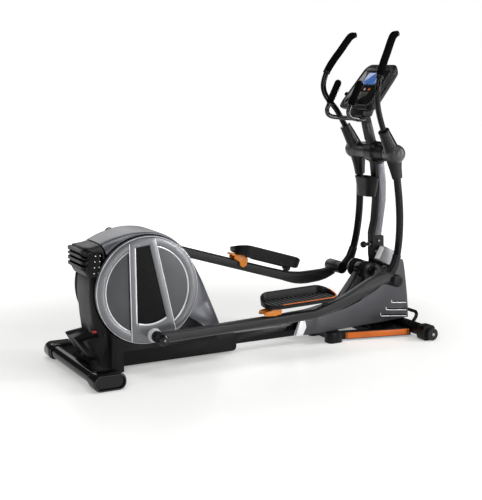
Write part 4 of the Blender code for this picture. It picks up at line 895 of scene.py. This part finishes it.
def latch():
    """Pull knob with a waisted stem and a fluted grip."""
    centre = JOINT["latch_pull"]
    steps = [(0.004, 0.0555), (0.004, 0.0285), (0.009, 0.028), (0.009, 0.006), (0.011, 0.0),
             (0.0165, -0.005), (0.018, -0.009), (0.0182, -0.017), (0.0172, -0.023), (0.014, -0.027),
             (0.008, -0.0288), (0.0006, -0.029)]
    count = 60
    rings = []
    for radius, out in steps:
        flute = 0.0008 if -0.024 < out < -0.006 else 0.0
        rings.append([centre + Vector((out, (radius - flute * (k % 5 == 0))
                * math.cos(2 * math.pi * k / count), (radius - flute * (k % 5 == 0))
                * math.sin(2 * math.pi * k / count))) for k in range(count)])
    piece("latch_grip", loft(rings), BLACK_PLASTIC, "latch_knob", ("latch_knob",))
    collar = [[lay(x, a, centre.z + b) for a, b in circle(r, 40)] for r, x in ((0.0095, 1.4275),
            (0.015, 1.4275), (0.015, 1.4185), (0.013, 1.417), (0.0095, 1.417))]
    piece("latch_collar", loft(collar, True), STEEL, "front_frame")


# ---- folding joint, lift motor and shroud ----
def fold_joint():
    """Ribbed hinge barrel with bright end rings and end caps."""
    centre = in_middle(JOINT["fold_hinge"])
    softened("fold_barrel", BLACK_PAINT, bevel=0.003, segments=3)
    for name, side in SIDES.items():
        work = bmesh.new()
        for k in range(5):
            y = 0.04 + 0.0075 * k
            rib = [(0.0405, y), (0.051, y + 0.0008), (0.0522, y + 0.0022), (0.051, y + 0.0038),
                   (0.0405, y + 0.0046)]
            add_rings(work, spun(rib, centre, 72, side), True)
        piece("barrel_ribs_" + name, work, BLACK_PLASTIC, "front_frame")
        ring = [(0.03, 0.078), (0.05, 0.078), (0.052, 0.08), (0.052, 0.0855), (0.049, 0.088),
                (0.033, 0.089), (0.03, 0.0888)]
        piece("barrel_ring_" + name, turned(ring, centre, 72, True, side=side),
              SILVER if side > 0 else HUB_PLASTIC, "front_frame")
        cap = [(0.03, 0.087), (0.029, 0.0905), (0.02, 0.092), (0.006, 0.0922), (0.005, 0.0905),
               (0.0004, 0.0903)]
        piece("barrel_cap_" + name, turned(cap, centre, 56, side=side), GLOSS_BLACK, "front_frame")


def lift_motor():
    softened("lift_motor", MOTOR_GREY, bevel=0.005, segments=3)
    low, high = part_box("lift_motor")
    corner = [lay(1.436, 0.0, 0.428), lay(1.478, 0.0, 0.504), lay(1.548, 0.0, 0.47), lay(1.505, 0.0, 0.394)]
    rear = (corner[1] - corner[0])
    out = Vector((-rear.z, 0.0, rear.x)).normalized()
    span = ((low.y + 0.008), high.y - 0.008)
    middle = (low.y + high.y) / 2

    def face(shrink, lift):
        return [corner[0] + rear * (0.08 + 0.84 * t) + out * lift + Vector((0.0,
                middle + (y - middle) * shrink, 0.0)) for t, y in rounded_unit(span)]
    # The plate's pale colour paints the reflection off the motor's polished face.
    rings = [face(1.0, -0.001), face(1.0, 0.0016), face(0.94, 0.0026)]
    piece("motor_plate", loft(rings), MOTOR_PLATE_PAINTED_REFLECTION, "front_frame")
    side = inset_quad([(p.x - AXLE_X, p.z) for p in corner], 0.1)
    piece("motor_side_plate", prism(side, low.y - 0.0018, low.y + 0.0005), MOTOR_GREY, "front_frame",
          bevel=0.0012)


def rounded_unit(span, count=6):
    """Corner-rounded rectangle of (share, y) points, with shares from 0 to 1."""
    low, high = span
    reach = 0.12
    points = []
    for a, b, start in ((1 - reach, high, 0), (reach, high, 90), (reach, low, 180), (1 - reach, low, 270)):
        sign = 1.0 if b == high else -1.0
        for k in range(count):
            angle = math.radians(start + 90 * k / (count - 1))
            points.append((a + reach * math.cos(angle), b - sign * 0.007 + 0.007 * math.sin(angle)))
    return points


def inset_quad(corners, share):
    middle = (sum(x for x, _ in corners) / len(corners), sum(z for _, z in corners) / len(corners))
    return [(x + (middle[0] - x) * share, z + (middle[1] - z) * share) for x, z in corners]


def louvre(side, start, end, depth, y):
    """A raised J-shaped lip along a line towards the front edge."""
    a, b = lay(start[0], side * y, start[1]), lay(end[0], side * y, end[1])
    along = (b - a).normalized()
    up = Vector((-along.z, 0.0, along.x))
    hook = [a + up * depth - along * 0.004, a + up * depth * 0.45 - along * 0.0055, a + along * 0.002,
            a + along * 0.016]
    return smooth_path(hook + [a.lerp(b, 0.35), a.lerp(b, 0.7), b], 4)


def shrouds():
    lines = (((1.522, 0.18), (1.6165, 0.171), 0.014), ((1.485, 0.1415), (1.6215, 0.1265), 0.016),
             ((1.448, 0.11), (1.624, 0.0925), 0.018))
    for name, side in SIDES.items():
        softened("shroud_" + name, SHROUD_GREY, bevel=0.0028, segments=3)
        for number, (start, end, depth) in enumerate(lines):
            path = louvre(side, start, end, depth, 0.0955)
            piece(f"louvre_lip_{number + 1}_{name}", pipe(path, 0.0022, 10), TRIM_AND_PAINTED_HIGHLIGHT, "front_frame")
            # A near-black strip under each lip: painted shade in the slot.
            lift = Vector((0.0, 0.0, 0.0052))
            slot = [p + lift for p in path[10:]]
            piece(f"louvre_slot_shade_{number + 1}_{name}", loft(swept(slot,
                    [[(0.0012, 0.003), (0.0012, -0.003), (-0.0012, -0.003),
                      (-0.0012, 0.003)]] * len(slot))), PAINTED_RECESS_SHADE, "front_frame")
        edge = [lay(x, side * 0.0925, z) for x, z in ((1.6335, 0.13), (1.6205, 0.24), (1.6045, 0.35),
                (1.5915, 0.415))]
        piece(f"shroud_front_edge_{name}", pipe(smooth_path(edge, 5), 0.0034, 12), SILVER, "front_frame")
        heel = [(0.888, 0.062), (0.932, 0.062), (0.954, 0.104), (0.944, 0.149), (0.918, 0.149), (0.9, 0.104)]
        nose = [(0.93, 0.061), (1.03, 0.061), (1.03, 0.153), (0.942, 0.15), (0.953, 0.104)]
        piece(f"shroud_nose_{name}", prism(nose, side * 0.08, side * 0.0953), SHROUD_GREY, "front_frame",
              bevel=0.0014)
        piece(f"shroud_heel_{name}", prism(heel, side * 0.08, side * 0.0975), TRIM_AND_PAINTED_HIGHLIGHT, "front_frame",
              bevel=0.0014)


def ramp_tube():
    """The bright lift tube between the neck and the shroud."""
    start, end = lay(1.33, -0.06, 0.236), lay(1.392, -0.06, 0.3)
    path = [start.lerp(end, t) for t in (0.0, 0.3, 0.7, 1.0)]
    piece("ramp_tube", pipe(path, 0.0135, 32), TRIM_AND_PAINTED_HIGHLIGHT, "front_frame", bevel=0.0015, limit=60.0)


# ---- base ----
def base():
    softened("base_frame", BLACK_PAINT, bevel=0.003, segments=3)
    softened("front_stabilizer", BLACK_PAINT, bevel=0.0015)
    for name, side in SIDES.items():
        softened("base_trim_" + name, ORANGE, bevel=0.0012)
        softened("stabilizer_cap_" + name, BLACK_PLASTIC, bevel=0.006, segments=4)
        centre = JOINT["wheel_spin_" + name]
        hub = in_middle(centre)
        tread = [(0.007, 0.3206), (0.015, 0.3206), (0.016, 0.3225), (0.026, 0.3225), (0.0275, 0.3206),
                 (0.031, 0.3212), (0.0338, 0.324), (0.034, 0.327), (0.0331, 0.3285), (0.0331, 0.3295),
                 (0.034, 0.331), (0.034, 0.336), (0.0331, 0.337), (0.0331, 0.338), (0.034, 0.3395),
                 (0.0338, 0.342), (0.031, 0.3448), (0.0275, 0.345), (0.026, 0.343), (0.016, 0.343),
                 (0.015, 0.3448), (0.007, 0.345)]
        piece("wheel_tyre_" + name, turned(tread, hub, 72, True, side=side), RUBBER,
              BODY_OF["transport_wheel_" + name], ("transport_wheel_" + name,))
        bolt = [(0.0004, 0.3455), (0.009, 0.3455), (0.0098, 0.3465), (0.0085, 0.349), (0.005, 0.35),
                (0.0004, 0.3502)]
        piece("wheel_bolt_" + name, turned(bolt, hub, 40, side=side), STEEL, "front_frame")
        for number, x in enumerate((1.205, 1.555)):
            end = prism([(x, 0.013), (x + 0.006, 0.013), (x + 0.006, 0.048), (x, 0.048)],
                        side * (0.1135 + 0.2457 * (x - 1.21)), side * (0.1175 + 0.2457 * (x - 1.21)))
            piece(f"trim_end_{number + 1}_{name}", end, BLACK_PLASTIC, "front_frame", bevel=0.0008)
        foot = rounded_box((1.087, 0.064), (1.173, 0.126), 0.016, 8)
        work = loft([[lay(x, side * y, z) for x, y in foot] for z in (0.0562, 0.058)])
        piece("base_foot_cap_" + name, work, BLACK_PLASTIC, "front_frame", bevel=0.0008)


# ---- console and fixed grips ----
def on_face(up, across, out):
    slope = (CONSOLE_HEAD - CONSOLE_FOOT).normalized()
    normal = Vector((-slope.z, 0.0, slope.x))
    middle = (CONSOLE_HEAD + CONSOLE_FOOT) / 2 + Vector((AXLE_X, 0.0, 0.0))
    return middle + slope * up + Vector((0.0, across, 0.0)) + normal * out


def face_loft(outlines, closed=False):
    return loft([[on_face(up, across, out) for across, up in outline] for outline, out in outlines], closed)


def console_plan(grow=0.0, count=10):
    """Face outline: wide rounded shoulders above, a tapered chin below."""
    half_top, half_low = 0.145 + grow, 0.154 + grow
    top, low = 0.156 + grow, -0.148 - grow
    points = []
    shoulder, chin = 0.045, 0.03
    rounds = ((half_top - shoulder, top - shoulder, shoulder, 0), (-half_top + shoulder, top - shoulder,
            shoulder, 90), (-half_low + chin, low + chin, chin, 180),
              (half_low - chin, low + chin, chin, 270))
    for a, b, radius, start in rounds:
        points += arc(a, b, radius, start, start + 90, count)
    return points


def console():
    body = "front_frame"
    rings = [(console_plan(-0.06), -0.06), (console_plan(-0.032), -0.054), (console_plan(-0.012), -0.04),
             (console_plan(-0.003), -0.018), (console_plan(-0.0005), -0.008),
             (console_plan(-0.0015), -0.0025), (console_plan(-0.004), -0.0004),
             (console_plan(-0.0075), 0.0004)]
    piece("console_shell", face_loft(rings), BLACK_PLASTIC, body, ("console_housing",))
    neck = [(1.314, 1.226), (1.385, 1.226), (1.424, 1.33), (1.418, 1.356), (1.372, 1.345), (1.322, 1.285)]
    piece("console_neck", prism(neck, -0.062, 0.062), BLACK_PLASTIC, body, bevel=0.01, segments=4)

    rim = [(console_plan(-0.01), 0.0), (console_plan(-0.0104), 0.0042), (console_plan(-0.013), 0.0058),
           (console_plan(-0.021), 0.006), (console_plan(-0.0235), 0.005), (console_plan(-0.024), 0.0006)]
    piece("console_bezel", face_loft(rim, True), BEZEL, body, ("console_face",))
    field = [(console_plan(-0.0232), 0.0002), (console_plan(-0.0232), 0.003), (console_plan(-0.0255), 0.0038)]
    piece("console_field", face_loft(field), GLOSS_BLACK, body)
    brow = [(-0.112, 0.108), (-0.1, 0.128), (0.1, 0.128), (0.112, 0.108), (0.07, 0.104), (-0.07, 0.104)]
    piece("console_brow", face_loft([(brow, 0.003), (brow, 0.0064)]), BEZEL, body, bevel=0.0016)


def display():
    """Glass in a raised surround."""
    body = "front_frame"
    screen = rounded_box((-0.062, 0.008), (0.062, 0.092), 0.008, 8)
    frame_in = rounded_box((-0.06, 0.01), (0.06, 0.09), 0.007, 8)
    wide = rounded_box((-0.067, 0.003), (0.067, 0.097), 0.012, 8)
    surround = [(wide, 0.003), (wide, 0.0072), (screen, 0.0078), (frame_in, 0.0052)]
    piece("display_surround", face_loft(surround), BEZEL, body)
    pane = rounded_box((-0.0598, 0.0102), (0.0598, 0.0898), 0.007, 8)
    glass = [(pane, 0.004), (pane, 0.007), (rounded_box((-0.0585, 0.0115), (0.0585, 0.0885), 0.006, 8),
            0.008)]
    piece("display_glass", face_loft(glass), display_material(), body, ("display_lens",))


def console_keys():
    """Three round keys over a vee panel, and the tab and seams at the console's sides."""
    body = "front_frame"
    vee = [(-0.052, -0.04), (0.052, -0.04), (0.052, -0.056), (0.0, -0.098), (-0.052, -0.056)]
    piece("console_vee", face_loft([(vee, 0.003), (vee, 0.0062)]), PANEL_VEE, body, bevel=0.0014)
    for k, across in enumerate((-0.042, 0.0, 0.042)):
        key = f"console_key_{k + 1}"
        rings = [([(across + a, -0.024 + b) for a, b in circle(r, 40)], out)
                 for r, out in ((0.0064, 0.0026), (0.0068, 0.0036), (0.0068, 0.0074), (0.0062, 0.0084),
                                (0.0044, 0.0088), (0.0006, 0.0086))]
        piece(key + "_cap", face_loft(rings), ORANGE if k != 1 else KEY_WHITE, key, (key,))
        well = [([(across + a, -0.024 + b) for a, b in circle(r, 40)], out)
                for r, out in ((0.0096, 0.0028), (0.0096, 0.0052), (0.0112, 0.0056), (0.0124, 0.004),
                               (0.0124, 0.0028))]
        piece(key + "_ring", face_loft(well, True), BEZEL, body)
    tab = [(0.158, -0.066), (0.1585, -0.054), (0.146, -0.046), (0.146, -0.072)]
    piece("console_tab", face_loft([(tab, -0.014), (tab, 0.01)]), BLACK_PLASTIC, body, bevel=0.002)
    for sign in (-1.0, 1.0):
        line = [on_face(up, sign * 0.1512, -0.013) for up in pieces_along(9, -0.112, 0.095)]
        piece("console_seam_" + ("left" if sign > 0 else "right"), pipe(line, 0.0022, 8), PAINTED_RECESS_SHADE, body)


GRIP_TOP = (1.274, 0.105, 1.42)
GRIP_LOW = (1.206, 0.105, 1.285)
GRIP_BEND = ((1.198, 0.105, 1.263), (1.203, 0.104, 1.239), (1.228, 0.101, 1.224), (1.282, 0.09, 1.217),
             (1.332, 0.055, 1.213), (1.35, 0.0, 1.211))


def fixed_grips():
    half = [Vector(GRIP_TOP), Vector(GRIP_LOW)] + [Vector(p) for p in GRIP_BEND]
    mirrored = [Vector((p.x, -p.y, p.z)) for p in reversed(half[:-1])]
    curve = smooth_path([lay(*p) for p in half[1:]] + [lay(*p) for p in mirrored[:-1]], 6)
    path = [lay(*half[0])] + curve + [lay(*mirrored[-1])]
    piece("grip_tube", pipe(path, 0.0125, 26, (0.8, 0.0, -0.6)), GRIP_CHROME, "front_frame", ("grip_bar",))
    clamp = [(1.337, 1.196), (1.364, 1.196), (1.372, 1.228), (1.337, 1.228)]
    piece("grip_clamp", prism(clamp, -0.03, 0.03), BLACK_PLASTIC, "front_frame", bevel=0.004, segments=3)
    for name, side in SIDES.items():
        low = Vector(GRIP_LOW).lerp(Vector(GRIP_TOP), 0.08)
        high = Vector(GRIP_LOW).lerp(Vector(GRIP_TOP), 0.995)
        a, b = lay(low.x, side * low.y, low.z), lay(high.x, side * high.y, high.z)
        path = [a.lerp(b, t) for t in (0.0, 0.02, 0.06, 0.3, 0.6, 0.9, 1.0)]
        radii = [0.015, 0.0176, 0.0186, 0.0188, 0.019, 0.019, 0.0188]
        piece("pulse_foam_" + name, pipe(path, radii, 32, round_end=0.012), FOAM, "front_frame",
              ("pulse_grip_" + name,))
        for number, (t0, t1) in enumerate(((0.2, 0.42), (0.52, 0.74))):
            c, d = a.lerp(b, t0), a.lerp(b, t1)
            inward = Vector((0.55, -side * 0.75, -0.3)).normalized()
            strip = swept([c.lerp(d, t) + inward * 0.0166 for t in (0.0, 0.05, 0.5, 0.95, 1.0)],
                          [[(x * w, z * w) for x, z in circle(0.0052, 20)]
                           for w in (0.4, 0.9, 1.0, 0.9, 0.4)])
            piece(f"pulse_plate_{number + 1}_{name}", loft(strip), STEEL, "front_frame")


def reset_button():
    centre = JOINT["reset_press"]
    steps = [(0.007, 0.01), (0.0075, 0.009), (0.0075, -0.009), (0.007, -0.0108), (0.005, -0.0118),
             (0.0004, -0.012)]
    rings = [[Vector((centre.x + out, centre.y + a, centre.z + b)) for a, b in circle(r, 40)]
             for r, out in steps]
    piece("reset_button_cap", loft(rings), RED, "reset_button", ("reset_button",))


def inner_drive():
    for node, material in (("flywheel", STEEL), ("crank_axle", STEEL), ("brake_magnet", STEEL),
                           ("drive_belt", RUBBER)):
        frame["nodes"][node].data.materials.clear()
        frame["nodes"][node].data.materials.append(material)


# ---- floor, light and camera ----
def floor():
    work = bmesh.new()
    bmesh.ops.create_grid(work, x_segments=2, y_segments=2, size=14.0)
    mesh = bpy.data.meshes.new("floor")
    work.to_mesh(mesh)
    work.free()
    plane = bpy.data.objects.new("floor", mesh)
    plane.location.z = -0.0005
    bpy.context.scene.collection.objects.link(plane)
    material = surface("pale_floor_with_painted_shade", (0.78, 0.78, 0.765), 0.3, grain=60, bump=0.0, blotch=0.004,
                       spread=0.02, specular=0.12)
    tree = material.node_tree
    shader = tree.nodes["Principled BSDF"]
    shader.inputs["Emission Color"].default_value = (1.0, 1.0, 0.995, 1.0)
    # The floor glows so that far off it meets the white backdrop; the glow is weaker within a few metres of the
    # machine, a painted pool of shade round it.
    place = tree.nodes.new("ShaderNodeTexCoord")
    distance = tree.nodes.new("ShaderNodeVectorMath")
    distance.operation = "LENGTH"
    glow_with_painted_shade = tree.nodes.new("ShaderNodeMapRange")
    glow_with_painted_shade.interpolation_type = "SMOOTHSTEP"
    glow_with_painted_shade.inputs["From Min"].default_value = 0.9
    glow_with_painted_shade.inputs["From Max"].default_value = 3.4
    glow_with_painted_shade.inputs["To Min"].default_value = 0.32
    glow_with_painted_shade.inputs["To Max"].default_value = 1.0
    tree.links.new(place.outputs["Object"], distance.inputs[0])
    tree.links.new(distance.outputs["Value"], glow_with_painted_shade.inputs["Value"])
    tree.links.new(glow_with_painted_shade.outputs["Result"], shader.inputs["Emission Strength"])
    mesh.materials.append(material)
    plane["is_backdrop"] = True


def soft_light(name, place, target, size, power, shade=(1.0, 1.0, 1.0)):
    light = bpy.data.lights.new(name, "AREA")
    light.shape = "RECTANGLE"
    light.size, light.size_y = size
    light.energy = power
    light.color = shade
    lamp = bpy.data.objects.new(name, light)
    bpy.context.scene.collection.objects.link(lamp)
    lamp.location = place
    lamp.rotation_euler = (Vector(target) - Vector(place)).to_track_quat("-Z", "Y").to_euler()


def lights():
    world = bpy.data.worlds.new("studio")
    bpy.context.scene.world = world
    world.use_nodes = True
    tree = world.node_tree
    background = tree.nodes["Background"]
    background.inputs["Color"].default_value = (1.0, 1.0, 1.0, 1.0)
    ray = tree.nodes.new("ShaderNodeLightPath")
    level = tree.nodes.new("ShaderNodeMapRange")
    level.inputs["To Min"].default_value = 0.08
    level.inputs["To Max"].default_value = 1.0
    tree.links.new(ray.outputs["Is Camera Ray"], level.inputs["Value"])
    tree.links.new(level.outputs["Result"], background.inputs["Strength"])
    middle = (0.0, 0.0, 0.6)
    soft_light("overhead", (-0.3, -0.2, 4.2), middle, (4.0, 2.4), 78)
    soft_light("rear_left_key", (-3.4, -3.4, 2.8), middle, (1.0, 1.8), 66)
    soft_light("front_rim", (3.4, -2.0, 1.8), middle, (0.5, 2.6), 85)
    soft_light("back_wash", (0.6, 4.0, 2.4), middle, (4.0, 1.8), 40)
    soft_light("near_strip", (1.9, -3.9, 1.3), (0.4, 0.0, 0.7), (0.22, 2.4), 62)


def camera():
    data = bpy.data.cameras.new("camera")
    eye = bpy.data.objects.new("camera", data)
    bpy.context.scene.collection.objects.link(eye)
    eye.location = lay(*CAMERA_PLACE)
    ahead = Vector((math.sin(CAMERA_YAW) * math.cos(CAMERA_PITCH), math.cos(CAMERA_YAW)
                    * math.cos(CAMERA_PITCH), -math.sin(CAMERA_PITCH)))
    eye.rotation_euler = ahead.to_track_quat("-Z", "Y").to_euler()
    data.sensor_width = SENSOR
    data.lens = FOCAL_LENGTH
    data.clip_end = 60.0
    bpy.context.scene.camera = eye


def main():
    camera()
    lights()
    floor()
    for name, side in SIDES.items():
        crank_disc(name, side)
        disc_wedge(name, side)
        crank_pin(name, side)
    builders = (top_shell, shell_flange, housings, vent_corner, rear_base, rear_feet, pedal_arms,
                pedal_trays, pedal_mats, pedal_levers, handlebars, swing_hubs, swing_legs, mast, bottle_cup,
                latch, fold_joint, lift_motor, shrouds, ramp_tube, base, console, display, console_keys,
                fixed_grips, reset_button, inner_drive)
    for build in builders:
        build()
    bpy.context.scene.view_settings.view_transform = "Standard"


main()


def corners(bounds):
    return [[round(float(value), 5) for value in corner] for corner in bounds]


{"cad": corners(cad_bounds), "visual": corners(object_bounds())}
